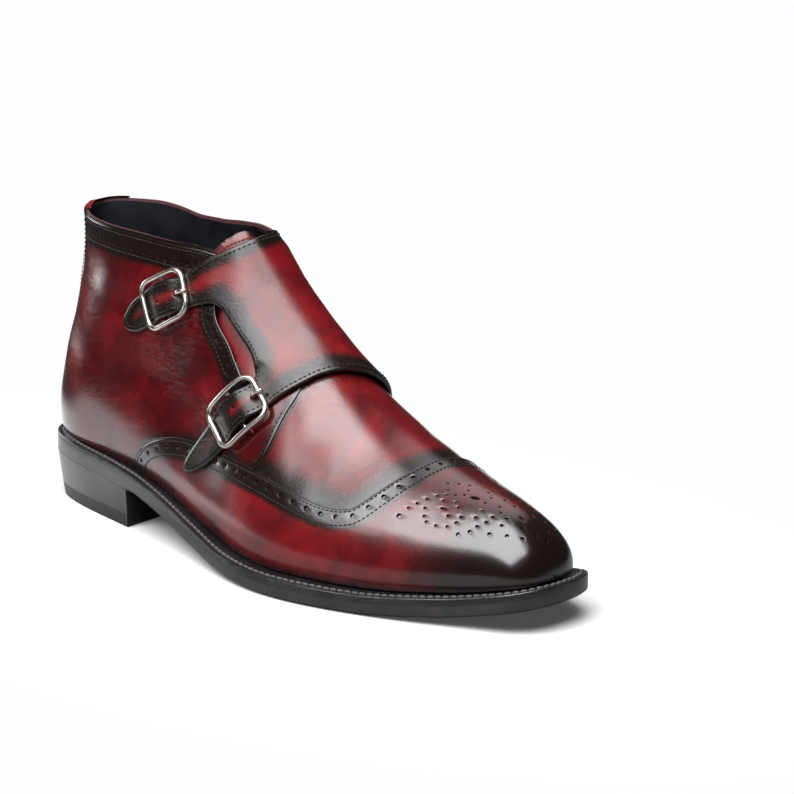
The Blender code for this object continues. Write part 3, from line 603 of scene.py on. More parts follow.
# Front edge of the medial quarter, over the flap's root, from the collar down.
MEDIAL_SEAM = (
    (0.330, 1.004), (0.285, 0.990), (0.235, 0.962), (0.198, 0.932), (0.176, 0.884), (0.178, 0.825),
    (0.197, 0.754), (0.220, 0.672), (0.240, 0.600), (0.256, 0.535), (0.274, 0.487),
    (0.297, 0.458), (0.330, 0.444),
)
# Edges of the flap between the straps' roots and its own root.
FLAP_TOP = (
    (-0.329, 0.936), (-0.283, 0.957), (-0.215, 0.971), (-0.137, 0.979), (-0.041, 0.986),
    (0.050, 0.991), (0.140, 0.996), (0.215, 1.001), (0.275, 0.999),
)
FLAP_ROOT = (
    (0.288, 0.985), (0.262, 0.955), (0.235, 0.915), (0.220, 0.860), (0.224, 0.780), (0.245, 0.700),
    (0.265, 0.620), (0.283, 0.550), (0.300, 0.490),
)
FLAP_FRONT = (
    (0.288, 0.462), (0.250, 0.504), (0.200, 0.553), (0.151, 0.588), (0.090, 0.620),
    (0.045, 0.636), (-0.010, 0.650), (-0.060, 0.655), (-0.111, 0.652), (-0.153, 0.642),
    (-0.205, 0.624), (-0.240, 0.606),
)
FLAP_WINDOW = (
    (-0.340, 0.848), (-0.315, 0.856), (-0.288, 0.861), (-0.266, 0.857), (-0.253, 0.842),
    (-0.246, 0.815), (-0.241, 0.780), (-0.239, 0.745), (-0.245, 0.713), (-0.258, 0.682),
)
TONGUE_OUTLINE = (
    (-0.36, 0.62), (-0.20, 0.56), (-0.02, 0.58), (0.05, 0.66), (0.05, 0.80), (0.025, 0.91),
    (-0.015, 0.980), (-0.060, 1.003), (-0.115, 1.017), (-0.165, 1.014), (-0.21, 0.998),
    (-0.27, 0.975), (-0.33, 0.93), (-0.37, 0.86), (-0.38, 0.78), (-0.38, 0.70),
)
BACK_STRIP_HALF = ((0.0, 9.0), (0.25, 7.5), (0.55, 8.0), (0.85, 13.0), (1.0, 15.0))  # up, mm

# Heights of the layers over the last, in millimetres.
LINING_LOW, LINING_TOP = -2.6, -1.95
VAMP_LOW, VAMP_TOP = -1.9, -0.6
QUARTER_LOW, QUARTER_TOP = -0.58, 0.0
WING_LOW, WING_TOP = -0.58, 0.38
FLAP_LOW, FLAP_THICKNESS = 0.6, 2.0
SKIVED_LOW, SKIVED_THICKNESS = -0.56, 0.5
BUCKLED_THICKNESS = 1.5
TONGUE_TOP, TONGUE_LOW = -3.5, -5.3


AROUND_LENGTH = 130.0  # length of one share of around over the instep, in mm
ROOT_LIFT = 0.56  # how far the flap's skived root lifts the quarter over it

# Lines that more than one piece follows.
WING_LINE = seam(WING_EDGE)
LOW_LINE = seam(LOW_SEAM)
FLAP_FRONT_LINE = seam(FLAP_FRONT)
WELT_LINE = np.c_[np.linspace(-1, 1, 260), np.zeros(260)]
COLLAR_LINE = np.c_[np.linspace(-1, 1, 200), RIM_CURVE(np.linspace(-1, 1, 200))]
TONGUE_LOOP = curve_through(TONGUE_OUTLINE, 220, closed=True)


def past_medial_seam(around, up):
    """Rough distance in mm of a place in front of the medial quarter's edge."""
    line = np.array(MEDIAL_SEAM[:-2])
    edge = np.interp(-np.asarray(up), -line[:, 1], line[:, 0])
    return (edge - around) * AROUND_LENGTH


def medial_lift(around, up):
    """How far the medial quarter rides up over the flap's skived root."""
    return ROOT_LIFT * ease(-15, -8, past_medial_seam(around, up)) * ease(0.42, 0.50, up)


def medial_low(around, up):
    """Underside of the medial quarter."""
    return QUARTER_LOW + medial_lift(around, up)


def medial_top(around, up):
    """Face of the medial quarter."""
    return QUARTER_TOP + medial_lift(around, up)


# ---------------------------------------------------------------- meshes

def in_frame(points):
    """Places in metres in the CAD frame, from places in mm on the last."""
    return (np.asarray(points, float) - ORIGIN) * MM


def linked(name, data):
    """An object of the scene that holds the data."""
    made = bpy.data.objects.new(name, data)
    bpy.context.scene.collection.objects.link(made)
    return made


def new_object(name, points, faces, finishes, sharp=40.0, indices=None, attributes=None):
    """A mesh object from points in mm, its edges sharp past an angle in degrees."""
    mesh = bpy.data.meshes.new(name)
    mesh.from_pydata(in_frame(points).tolist(), [], [tuple(int(i) for i in face) for face in faces])
    for finish in finishes:
        mesh.materials.append(FINISHES[finish])
    if indices is not None:
        mesh.polygons.foreach_set("material_index", np.asarray(indices, np.int32))
    for key, values in (attributes or {}).items():
        layer = mesh.attributes.new(key, 'FLOAT', 'POINT')
        layer.data.foreach_set("value", np.asarray(values, np.float32))
    mesh.validate()
    mesh.shade_smooth()
    mesh.set_sharp_from_angle(angle=math.radians(sharp))
    linked(name, mesh)


def inside(loop, points):
    """Which of the points lie inside a closed loop, by crossings."""
    hit = np.zeros(len(points), bool)
    for start, end in zip(loop, np.roll(loop, -1, 0)):
        spans = (start[1] > points[:, 1]) != (end[1] > points[:, 1])
        rise = end[1] - start[1] if end[1] != start[1] else 1e-12
        cross = start[0] + (points[:, 1] - start[1]) / rise * (end[0] - start[0])
        hit ^= spans & (points[:, 0] < cross)
    return hit


def clearance(loop, points):
    """Distance from points to a closed loop."""
    return nearest(full_turn(loop), points)[0]


def triangular_grid(low, high, spacing):
    """Even points in a triangular pattern between two corners."""
    rows = []
    for number, y in enumerate(np.arange(low[1] + spacing / 2, high[1], spacing * 0.87)):
        xs = np.arange(low[0] + spacing / 2 * (number % 2), high[0], spacing)
        rows.append(np.c_[xs, np.full(len(xs), y)])
    return np.vstack(rows)


def fill(loop, spacing, holes=(), rings=(), ring_gap=0.0):
    """Flat points and triangles that fill a loop, leaving the holes open.

    rings are lines of points that the mesh keeps; the outermost lie within
    ring_gap of the loop.  Returns points, triangles, and for each point the
    loop it lies on: 0 the outline, 1 and up the holes, -1 the inside.
    """
    grid = triangular_grid(loop.min(0), loop.max(0), spacing)
    grid = grid[inside(loop, grid)]
    grid = grid[clearance(loop, grid) > 0.55 * spacing]
    for hole in holes:
        middle, reach = hole.mean(0), np.ptp(hole, axis=0).max()
        near = np.linalg.norm(grid - middle, axis=1) < 0.5 * reach + 0.35 * spacing
        grid = grid[~near]
    marks = [np.zeros(len(loop), int)]
    marks += [np.full(len(hole), i + 1) for i, hole in enumerate(holes)]
    parts = [loop, *holes]
    edges, start = [], 0
    for ring in (loop, *holes):
        edges += [(start + i, start + (i + 1) % len(ring)) for i in range(len(ring))]
        start += len(ring)
    for ring, keep in rings:
        keep = keep & inside(loop, ring)
        number = start + np.cumsum(keep) - 1
        after = np.roll(np.arange(len(ring)), -1)
        edges += [(number[i], number[after[i]]) for i in np.flatnonzero(keep & keep[after])]
        parts.append(ring[keep])
        marks.append(np.full(keep.sum(), -1))
        start += keep.sum()
    if len(grid) and ring_gap:
        grid = grid[clearance(loop, grid) > ring_gap]
    parts.append(grid)
    marks.append(np.full(len(grid), -1))
    points = np.vstack(parts)
    marks = np.concatenate(marks)
    flat, _, faces, origin, *_ = delaunay_2d_cdt([Vector(p) for p in points], edges, [], 0, 1e-6)
    flat = np.array([tuple(p) for p in flat])
    mark = np.array([marks[o[0]] if o else -1 for o in origin])
    faces = np.array(faces)
    middle = flat[faces].mean(1)
    wanted = inside(loop, middle)
    for hole in holes:
        near = np.linalg.norm(middle - hole.mean(0), axis=1) < np.ptp(hole, axis=0).max()
        index = np.flatnonzero(near)
        wanted[index[inside(hole, middle[index])]] = False
    faces = faces[wanted]
    used = np.unique(faces)
    number = np.full(len(flat), -1)
    number[used] = np.arange(len(used))
    return flat[used], number[faces], mark[used]


# Rounding of a cut edge: distance inside it and drop below the top, as shares
# of the rounding's size.
EDGE_ROUNDING = ((0.0, 1.0), (0.12, 0.48), (0.38, 0.18), (0.75, 0.04), (1.25, 0.0))
RING_KEPT = 0.85  # share of its distance that a ring's point has to keep
HOLE_RIM = 0.32  # width of the flat leather round each hole, in mm
HOLE_DROP = 0.10  # drop at a hole's edge, as a share of the rounding's size
# Burn lines include lines of painted shadow.
BURN_SHIFT = 300.0  # makes the pattern along each burnt line its own


def rings_inside(outline, size):
    """Rings inside a closed chart outline, and which of their points keep their distance."""
    _, left = directions(np.vstack([outline[-1:], outline, outline[:1]]))
    rings = []
    for inset, _ in EDGE_ROUNDING[1:]:
        ring = outline + LAST.shares_for(*outline.T, left[1:-1] * inset * size)
        rings.append((ring, surface_gap(full_turn(outline), ring) > RING_KEPT * inset * size))
    return rings


def rings_round(holes):
    """A ring of leather that stays flat round each hole."""
    rings = []
    for hole in holes:
        middle = hole.mean(0)
        reach = np.linalg.norm(LAST.point(*hole.T) - LAST.point(*middle), axis=1)
        ring = middle + (hole - middle) * (1 + HOLE_RIM / reach)[:, None]
        rings.append((ring, np.ones(len(ring), bool)))
    return rings


def shade_attributes(points, burns, height, extra):
    """Darkening by polish and painted shade, distance to the nearest darkened line and run along it.

    Each burn is a chart line that the polish or a painted shadow darkens, with the
    distances in mm up to which it is fully dark and at which it has faded, and its strength.
    height is that of the lines over the last.
    """
    burnish_and_shade = np.zeros(len(points)) if extra is None else extra
    gap = np.full(len(points), 60.0)
    run = np.zeros(len(points))
    for number, (chart, solid, fade, strength) in enumerate(burns):
        distance, along = nearest(space(chart, height), points)
        burnish_and_shade = np.maximum(burnish_and_shade, strength * (1 - ease(solid, fade, distance)))
        run = np.where(distance < gap, along + number * BURN_SHIFT, run)
        gap = np.minimum(gap, distance)
    return {"burnish_and_shade": np.clip(burnish_and_shade, 0, 1), "seam_gap": gap, "seam_run": run}


def panel(name, outline, low, high, finish, burns, holes, spacing, rounding, burnish_and_shade=None,
          burn_height=0.0):
    """A closed leather panel on the last with a rounded cut edge.

    outline and holes are chart loops, low and high give the heights of its
    two faces at chart places.
    """
    if not is_left_turning(outline):
        outline = outline[::-1]
    scale = np.array([np.linalg.norm(way, axis=1).mean() for way in LAST.slopes(*outline.T)])
    rings = rings_inside(outline, rounding) + rings_round(holes)
    flat, faces, mark = fill(outline * scale, spacing, [hole * scale for hole in holes],
                             [(ring * scale, keep) for ring, keep in rings], 1.6 * rounding)
    chart = flat / scale
    gap = surface_gap(full_turn(outline), chart)
    drop = np.interp(gap / rounding, *np.transpose(EDGE_ROUNDING))
    drop[mark == 0] = 1.0
    drop[mark > 0] = HOLE_DROP
    low_height = np.asarray(low(*chart.T), float)
    top_height = np.asarray(high(*chart.T), float)
    cut = np.minimum(rounding, 0.8 * (top_height - low_height))
    points = np.vstack([skin(*chart.T, low_height), skin(*chart.T, top_height - drop * cut)])

    count = len(chart)
    seen = {(a, b) for face in faces.tolist() for a, b in zip(face, face[1:] + face[:1])}
    rim = sorted(side for side in seen if side[::-1] not in seen)
    walls = [(start + count, start, end, end + count) for start, end in rim]
    upper = [tuple(face + count) for face in faces]
    lower = [tuple(face[::-1]) for face in faces]
    indices = np.zeros(2 * len(faces) + len(walls), int)
    indices[2 * len(faces):] = [mark[start] > 0 for start, _ in rim]
    extra = burnish_and_shade(*np.tile(chart.T, 2), points) if burnish_and_shade else None
    values = shade_attributes(points, burns, burn_height, extra)
    finishes = (finish, "raw") if holes else (finish,)
    new_object(name, points, upper + lower + walls, finishes, indices=indices, attributes=values)


CUT_EDGE_FROM = 0.93  # above this level the inner face shows the cut edge's finish
THROAT_FOOT = 0.69  # level where the throat's opening begins
THROAT_WIDTH = 0.18  # its share of around at the collar


def throat(levels, back):
    """Lateral edge and width of the throat at levels, its edges back by a share of around."""
    line = np.array(THROAT_SEAM)[::-1]
    start = np.interp(levels, line[:, 1], line[:, 0]) - back
    opened = np.clip((levels - THROAT_FOOT) / (1 - THROAT_FOOT), 0, 1)
    return start, opened * (THROAT_WIDTH + 2 * back)


def shell_levels(low, middle, high, rim):
    """Levels of a shell, with three numbers of rows up to its rim."""
    return np.r_[np.linspace(0.012, 0.15, low), np.linspace(0.15, THROAT_FOOT, middle)[1:],
                 np.linspace(THROAT_FOOT, 0.975, high)[1:], rim]


def shell(name, levels, back, columns, outer, inner, finishes, burns=(), burnish_and_shade=None):
    """A leather shell right round the last, open at the throat.

    The throat's edges stand back by a share of around.  Below the throat both
    edges are joined.  The last finish is that of the cut edge.
    """
    start, width = throat(levels, back)
    around = start[:, None] - np.linspace(0, 1, columns + 1) * (2 - width[:, None])
    up = rimmed(around, levels[:, None])
    points, charts, number = [], [], {}
    for layer, height in enumerate((outer, inner)):
        grid = skin(around, up, np.full(around.shape, height))
        for i in range(len(levels)):
            for j in range(columns + 1):
                if width[i] <= 0 and j == columns:
                    number[layer, i, j] = number[layer, i, 0]
                    continue
                number[layer, i, j] = len(points)
                points.append(grid[i, j])
                charts.append((around[i, j], up[i, j]))
    faces, edge_faces = [], []

    def wall(i, j, next_i, next_j, turn):
        """A face between both layers, along one step of the grid."""
        edge_faces.append(len(faces))
        faces.append([number[0, i, j], number[0, next_i, next_j],
                      number[1, next_i, next_j], number[1, i, j]][::turn])

    last = len(levels) - 1
    for i in range(last):
        for j in range(columns):
            corners = ((i, j), (i, j + 1), (i + 1, j + 1), (i + 1, j))
            faces.append([number[(0, *corner)] for corner in corners][::-1])
            if levels[i] > CUT_EDGE_FROM:
                edge_faces.append(len(faces))
            faces.append([number[(1, *corner)] for corner in corners])
    for j in range(columns):
        wall(0, j, 0, j + 1, 1)
        wall(last, j, last, j + 1, -1)
    for i in range(np.flatnonzero(width <= 0)[-1], last):
        wall(i, 0, i + 1, 0, -1)
        wall(i, columns, i + 1, columns, 1)
    points = np.array(points)
    extra = burnish_and_shade(*np.transpose(charts), points) if burnish_and_shade else None
    values = shade_attributes(points, burns, outer, extra)
    indices = np.zeros(len(faces), int)
    indices[edge_faces] = len(finishes) - 1
    new_object(name, points, faces, finishes, indices=indices, attributes=values)


def ring_faces(rows, count, closed=False, turned=False):
    """Quads between rings of count points each; closed joins the last ring to the first."""
    faces = []
    for row in range(rows if closed else rows - 1):
        here, after = row * count, (row + 1) % rows * count
        for i in range(count):
            j = (i + 1) % count
            quad = (here + i, here + j, after + j, after + i)
            faces.append(quad[:1] + quad[:0:-1] if turned else quad)
    return faces


def tube_mesh(path, radii, up, closed=False, sides=12):
    """Points and faces of a round bar; up gives a rough upward direction."""
    ahead = np.roll(path, -1, 0) - np.roll(path, 1, 0) if closed else np.gradient(path, axis=0)
    ahead = unit(ahead)
    side = unit(np.cross(ahead, np.broadcast_to(up, path.shape)))
    rise = np.cross(side, ahead)
    turns = circle_angles(sides)[None, :, None]
    radii = np.broadcast_to(radii, len(path))[:, None, None]
    spokes = np.cos(turns) * side[:, None] + np.sin(turns) * rise[:, None]
    points = (path[:, None] + radii * spokes).reshape(-1, 3)
    faces = ring_faces(len(path), sides, closed, turned=True)
    if not closed:
        faces.append(tuple(range(sides)))
        faces.append(tuple(range(len(points) - sides, len(points)))[::-1])
    return points, faces


def joined(parts):
    """One list of points and one of faces from several."""
    points, faces, start = [], [], 0
    for own_points, own_faces in parts:
        points.append(own_points)
        faces += [tuple(i + start for i in face) for face in own_faces]
        start += len(own_points)
    return np.vstack(points), faces


# ---------------------------------------------------------------- buckles and straps

class BuckleSeat:
    """Flat coordinates on the last round a buckle: s along the strap toward
    the instep, t across it, in millimetres."""

    def __init__(self, chart, angle):
        self.chart = np.array(chart)
        self.centre = LAST.point(*chart)
        self.out = LAST.normal(*chart)
        level = unit(np.cross(self.out, (0, 0, 1)))
        level *= np.sign(level[0])
        rise = np.cross(level, self.out)
        rise *= np.sign(rise[2])
        turn = math.radians(angle)
        self.along = math.cos(turn) * level + math.sin(turn) * rise
        self.across = math.cos(turn) * rise - math.sin(turn) * level

    def flat(self, points):
        """s and t of space points."""
        reach = points - self.centre
        return reach @ self.along, reach @ self.across

    def chart_at(self, s, t):
        """around and up under the places s, t, by Newton's steps."""
        wanted = np.stack(shares(s, t), -1)
        guess = np.broadcast_to(self.chart, wanted.shape).copy()
        small = 1e-4

        def flat_at(around, up):
            return np.stack(self.flat(LAST.point(around, up)), -1)
        for _ in range(12):
            around, up = guess[..., 0], guess[..., 1]
            here = flat_at(around, up)
            slopes = (flat_at(around + small, up) - here, flat_at(around, up + small) - here)
            step = np.linalg.solve(np.stack(slopes, -1) / small, (wanted - here)[..., None])[..., 0]
            guess += np.clip(step, -0.08, 0.08)
        return guess[..., 0], guess[..., 1]

    def place(self, s, t, height):
        """Space points at s, t and a height above the skin."""
        around, up = self.chart_at(s, t)
        return skin(around, up, np.broadcast_to(height, np.shape(around)))

    def on_strap(self, points, around, reach):
        """Which points of the outer side lie within reach of the strap's middle line."""
        near = (abs(self.flat(points)[1]) < reach) & (around < OUTER_SIDE)
        return near & (abs((points - self.centre) @ self.out) < SEAT_DEPTH)


OUTER_SIDE = -0.2  # the straps lie below this share of around
SEAT_DEPTH = 15.0  # and no further than this from the buckle's own plane, in mm
BUCKLE_SEATS = {
    "upper": BuckleSeat((-0.4302, 0.8400), 28.0),
    "lower": BuckleSeat((-0.3482, 0.5460), 50.0),
}
FRAME_SIZES = {"upper": (24.4, 21.2), "lower": (26.2, 22.8)}  # along and across the strap
FRAME_CORNER = 5.2  # radius of the frame's corners
FRAME_WIRE = 1.15  # radius of the frame's wire
FRAME_RISE = 3.45  # height of the frame's wire over the skin
BAR_WIRE = 0.75
BAR_RISE = 1.15
BAR_DROP = 0.5  # how far the bar's ends meet the frame below its middle
BAR_BEND = (0.84, 0.97)  # shares of the bar's half length between which it bends up
PRONG_WIRE = 1.0
STRAP_HUMP = 2.0  # how far the strap rises to pass over the bar
HUMP_LENGTH = 8.0
STRAP_ROOT = 14.3  # where each strap leaves the flap
# Places on each strap, s and t; the prong runs from its hole to its tip.
PRONG_HOLE = {"upper": (7.4, -0.4), "lower": (9.6, 0.6)}
PRONG_TIP = {"upper": (14.0, -1.4), "lower": (15.2, -1.0)}
SECOND_HOLE = {"upper": (-3.4, 0.0), "lower": (0.6, 1.9)}
# Each strap's edge: upper side from the root, round the tip, lower side to the root.
STRAP_EDGES = {
    "upper": ((10.0, 6.7), (3.5, 7.8), (-2.0, 8.4), (-8.0, 8.0), (-17.0, 7.1), (-22.2, 6.0),
              (-26.7, 3.3), (-29.6, 0.6), (-30.2, -1.6), (-28.2, -4.6), (-23.9, -6.8),
              (-18.0, -7.4), (-9.6, -7.0), (-1.0, -7.7), (10.0, -8.3)),
    "lower": ((8.6, 7.9), (3.0, 8.8), (-3.0, 9.0), (-8.0, 9.0), (-14.0, 8.0), (-18.5, 7.4),
              (-26.0, 7.2), (-33.0, 6.6), (-38.0, 5.6), (-40.8, 3.8), (-39.6, 0.9), (-35.0, -2.6),
              (-28.8, -5.4), (-22.0, -7.0), (-14.0, -7.5), (-8.0, -7.3), (1.0, -6.6), (8.6, -7.2)),
}
ROOT_LENGTH = 13.0  # length over which the flap's root rises to its full thickness
STRAP_THINNING = (15, 23)  # places s between which the flap thins into the strap
JOINT_SOFTENING = 3  # rounds of softening of the flap's sharp joints
# Worn red spots of each strap: s and t of both ends, and their reach.
WORN_SPOTS = {
    "upper": ((-23.0, -0.4, -19.0, 0.0, 3.6), (-3.0, 0.5, 6.0, 0.0, 3.4)),
    "lower": ((-28.0, 2.2, -18.5, 1.2, 3.4), (0.0, 0.8, 8.0, 0.4, 3.6)),
}


def strap_loop(name):
    """Chart outline of one strap from its root round its tip."""
    edge = STRAP_EDGES[name]
    places = ((STRAP_ROOT, edge[0][1]), *edge, (STRAP_ROOT, edge[-1][1]))
    return np.stack(BUCKLE_SEATS[name].chart_at(*curve_through(places, 90).T), -1)


def flap_outline():
    """Chart outline of flap and straps, once round, with its sharp joints softened."""
    loop = np.vstack([seam(FLAP_TOP)[::-1], strap_loop("upper"), seam(FLAP_WINDOW),
                      strap_loop("lower"), FLAP_FRONT_LINE[::-1], seam(FLAP_ROOT)[::-1]])
    loop = stepped(full_turn(loop), 1.0)[:-1]
    for _ in range(JOINT_SOFTENING):
        loop = (np.roll(loop, 1, 0) + 2 * loop + np.roll(loop, -1, 0)) / 4
    return loop


def flap_heights(around, up):
    """Underside and thickness of flap and straps."""
    raised = ease(0.0, ROOT_LENGTH, past_medial_seam(around, up))
    low = SKIVED_LOW + (FLAP_LOW - SKIVED_LOW) * raised
    thick = SKIVED_THICKNESS + (FLAP_THICKNESS - SKIVED_THICKNESS) * raised
    points = LAST.point(around, up)
    for seat in BUCKLE_SEATS.values():
        s, _ = seat.flat(points)
        near = seat.on_strap(points, around, 12)
        low = np.where(near, low + STRAP_HUMP * np.exp(-(s / HUMP_LENGTH)**4), low)
        slim = np.where(near, 1 - ease(*STRAP_THINNING, s), 0)
        thick = thick + (BUCKLED_THICKNESS - thick) * slim
    return low, thick


def flap_low(around, up):
    """Underside of flap and straps."""
    return flap_heights(around, up)[0]


def flap_top(around, up):
    """Face of flap and straps."""
    return sum(flap_heights(around, up))


# ---------------------------------------------------------------- materials

class Nodes:
    """Short way to add and link the nodes of one tree."""

    def __init__(self, tree):
        self.tree = tree

    def add(self, kind, **settings):
        """A new node with its settings."""
        node = self.tree.nodes.new(kind)
        for key, value in settings.items():
            setattr(node, key, value)
        return node

    def set(self, node, key, value):
        """Links a socket to an input, or gives the input a value."""
        if isinstance(value, bpy.types.NodeSocket):
            self.tree.links.new(value, node.inputs[key])
        else:
            node.inputs[key].default_value = value

    def feed(self, node, **inputs):
        """Sets a node's inputs by their names, with _ for a space."""
        for key, value in inputs.items():
            self.set(node, key.replace("_", " "), value)
        return node

    def group(self, tree, **inputs):
        """Outputs of a node group with its own values."""
        return self.feed(self.add('ShaderNodeGroup', node_tree=tree), **inputs).outputs

    def maths(self, operation, first, second=0.0):
        """One sum of two values."""
        node = self.add('ShaderNodeMath', operation=operation)
        self.set(node, 0, first)
        self.set(node, 1, second)
        return node.outputs[0]

    def total(self, *terms):
        """All terms added up."""
        return reduce(lambda so_far, term: self.maths('ADD', so_far, term), terms)

    def product(self, *factors):
        """All factors multiplied."""
        return reduce(lambda so_far, factor: self.maths('MULTIPLY', so_far, factor), factors)

    def mix(self, share, first, second, kind='RGBA'):
        """Runs from the first to the second colour or value with share."""
        low, high, result = MIX_SOCKETS[kind]
        node = self.add('ShaderNodeMix', data_type=kind)
        for key, value in (('Factor', share), (low, first), (high, second)):
            self.set(node, key, value)
        return node.outputs[result]

    def noise(self, vector, scale, detail=3.0, roughness=0.55, distortion=0.0):
        """Cloudy pattern about 0.5; scale is in patches per metre."""
        node = self.feed(self.add('ShaderNodeTexNoise'), Vector=vector, Scale=scale, Detail=detail,
                         Roughness=roughness, Distortion=distortion)
        return node.outputs['Fac']

    def step(self, value, low, high):
        """Smooth step of a value from 0 at low to 1 at high."""
        node = self.add('ShaderNodeMapRange', interpolation_type='SMOOTHSTEP')
        return self.feed(node, Value=value, From_Min=low, From_Max=high).outputs['Result']

    def place(self):
        """The place on the piece, in metres."""
        return self.add('ShaderNodeTexCoord').outputs['Object']

    def stretched(self, scale, turn=(0.0, 0.0, 0.0)):
        """The place, turned and stretched."""
        node = self.add('ShaderNodeMapping')
        return self.feed(node, Vector=self.place(), Scale=scale, Rotation=turn).outputs[0]

    def toward(self, place, *direction):
        """How far a place or way lies toward a direction."""
        node = self.add('ShaderNodeVectorMath', operation='DOT_PRODUCT')
        self.set(node, 0, place)
        self.set(node, 1, direction)
        return node.outputs['Value']

    def attribute(self, name):
        """A value that the mesh carries."""
        node = self.add('ShaderNodeAttribute', attribute_type='GEOMETRY', attribute_name=name)
        return node.outputs['Fac']


MIX_SOCKETS = {'RGBA': (6, 7, 2), 'FLOAT': (2, 3, 0)}  # both inputs and the output of a mix


def new_group(name, inputs, outputs):
    """A shader node group with named sockets: its nodes, its inputs and its output node."""
    tree = bpy.data.node_groups.new(name, 'ShaderNodeTree')
    for way, sockets in (('INPUT', inputs), ('OUTPUT', outputs)):
        for key, kind in sockets:
            tree.interface.new_socket(name=key, in_out=way, socket_type=kind)
    n = Nodes(tree)
    return tree, n, n.add('NodeGroupInput').outputs, n.add('NodeGroupOutput')


def patina_group():
    """Hand-rubbed colour: mottled base, lit patches, burnished borders and painted shade."""
    inputs = [(name, 'NodeSocketColor') for name in ("Deep", "Lit", "Burnt")]
    # The Burnish input and the Burnt colour carry polish and painted shade together.
    inputs += [(name, 'NodeSocketFloat') for name in ("Burnish", "Gap", "Run", "Mottle")]
    tree, n, given, out = new_group(
        "hand patina", inputs, [("Colour", 'NodeSocketColor'), ("Burnt share", 'NodeSocketFloat')])
    place = n.place()
    clouds = n.total(n.product(n.noise(place, 26.0, 3.0, 0.6, 0.6), 0.65),
                     n.product(n.noise(place, 55.0, 4.0, 0.6, 1.0), 0.35))
    lit = n.step(n.total(clouds, n.product(given["Mottle"], 0.28)), 0.50, 0.82)

    strokes = n.feed(n.add('ShaderNodeCombineXYZ'), X=n.product(given["Run"], 1.15),
                     Y=n.product(given["Gap"], 0.16))
    hairs = n.noise(strokes.outputs[0], 1.0, 4.0, 0.72, 0.3)
    soft = n.noise(place, 120.0, 3.0, 0.6)
    ragged = n.maths('SUBTRACT', n.total(n.product(hairs, 0.62), n.product(soft, 0.38)), 0.5)
    fading = n.product(given["Burnish"], n.maths('SUBTRACT', 1.0, given["Burnish"]), 4.0)
    # Share darkened by polish or painted shade.
    burnt_and_shade = n.step(n.total(given["Burnish"], n.product(ragged, fading, 1.5)), 0.06, 0.92)
    n.feed(out, Burnt_share=burnt_and_shade,
           Colour=n.mix(burnt_and_shade, n.mix(lit, given["Deep"], given["Lit"]), given["Burnt"]))
    return tree


def grain_group():
    """Height of calf grain: pores, fine wrinkles and a soft unevenness."""
    tree, n, given, out = new_group(
        "calf grain", [("Grain size", 'NodeSocketFloat'), ("Wrinkles", 'NodeSocketFloat')],
        [("Height", 'NodeSocketFloat')])
    place = n.place()
    pores = n.feed(n.add('ShaderNodeTexVoronoi', feature='SMOOTH_F1'), Vector=place,
                   Scale=given["Grain size"])
    folds = n.noise(n.stretched((1.0, 0.8, 3.2), (0.3, 0.5, 0.2)), 190.0, 5.0, 0.5, 1.4)
    wrinkles = n.step(n.maths('ABSOLUTE', n.maths('SUBTRACT', folds, 0.5)), 0.0, 0.06)
    patches = n.step(n.noise(place, 30.0, 2.0, 0.5), 0.35, 0.75)
    n.feed(out, Height=n.total(
        n.product(pores.outputs['Distance'], 0.10),
        n.product(n.noise(place, 1400.0, 2.0, 0.5), 0.05),
        n.product(n.noise(place, 75.0, 2.0, 0.4, 0.6), 0.35),
        n.product(wrinkles, patches, given["Wrinkles"], 0.20)))
    return tree


def new_material(name):
    """A material with its nodes and its shader."""
    made = bpy.data.materials.new(name)
    made.use_nodes = True
    return made, Nodes(made.node_tree), made.node_tree.nodes["Principled BSDF"]


def rgba(colour, tone=1.0):
    """A colour for a shader, darker or lighter by tone."""
    return (*(channel * tone for channel in colour), 1.0)


def bumped(n, shader, height, depth, coat=0.0):
    """Bump of the surface in metres, and a share of it for the coat."""
    for name, distance in (('Normal', depth), ('Coat Normal', depth * coat)):
        if distance:
            bump = n.feed(n.add('ShaderNodeBump'), Strength=1.0, Distance=distance, Height=height)
            n.set(shader, name, bump.outputs['Normal'])


def toned(n, shader, colour, tone, share, pattern, swing, rough):
    """Colour that turns to tone times itself with share; a pattern that swings the roughness."""
    n.feed(shader, Base_Color=n.mix(share, rgba(colour), rgba(colour, tone)),
           Roughness=n.total(n.product(pattern, swing), rough))


def burgundy_leather(name, patina, grain, colours, mottle, wrinkles, coat, rough, coat_rough):
    """Polished calf with hand-rubbed patina, burnished edges and painted shade."""
    made, n, shader = new_material(name)
    paint = n.group(patina, Deep=rgba(colours.deep), Lit=rgba(colours.lit), Burnt=rgba(colours.burnt_and_shade),
                    Burnish=n.attribute("burnish_and_shade"), Gap=n.attribute("seam_gap"),
                    Run=n.attribute("seam_run"), Mottle=mottle)
    uneven = n.total(n.product(n.noise(n.place(), 60.0), 0.12), rough - 0.06)
    n.feed(shader, Base_Color=paint["Colour"], IOR=1.45, Coat_Weight=coat, Coat_Roughness=coat_rough,
           Roughness=n.maths('SUBTRACT', uneven, n.product(paint["Burnt share"], 0.05)))
    bumped(n, shader, n.group(grain, Grain_size=900.0, Wrinkles=wrinkles)["Height"], 0.00022, 0.35)
    return made


def plain_leather(name, grain, colour, rough, coat, wrinkles, depth, shine):
    """Single-colour leather with grain and a slight change of tone."""
    made, n, shader = new_material(name)
    tone = n.step(n.noise(n.place(), 90.0, 4.0, 0.6), 0.3, 0.8)
    lighter = [channel * 1.9 + 0.004 for channel in colour]
    n.feed(shader, Base_Color=n.mix(tone, rgba(colour), rgba(lighter)), Specular_IOR_Level=shine,
           Coat_Weight=coat, Coat_Roughness=0.2,
           Roughness=n.total(n.product(n.noise(n.place(), 300.0), 0.12), rough - 0.06))
    bumped(n, shader, n.group(grain, Grain_size=1100.0, Wrinkles=wrinkles)["Height"], depth)
    return made


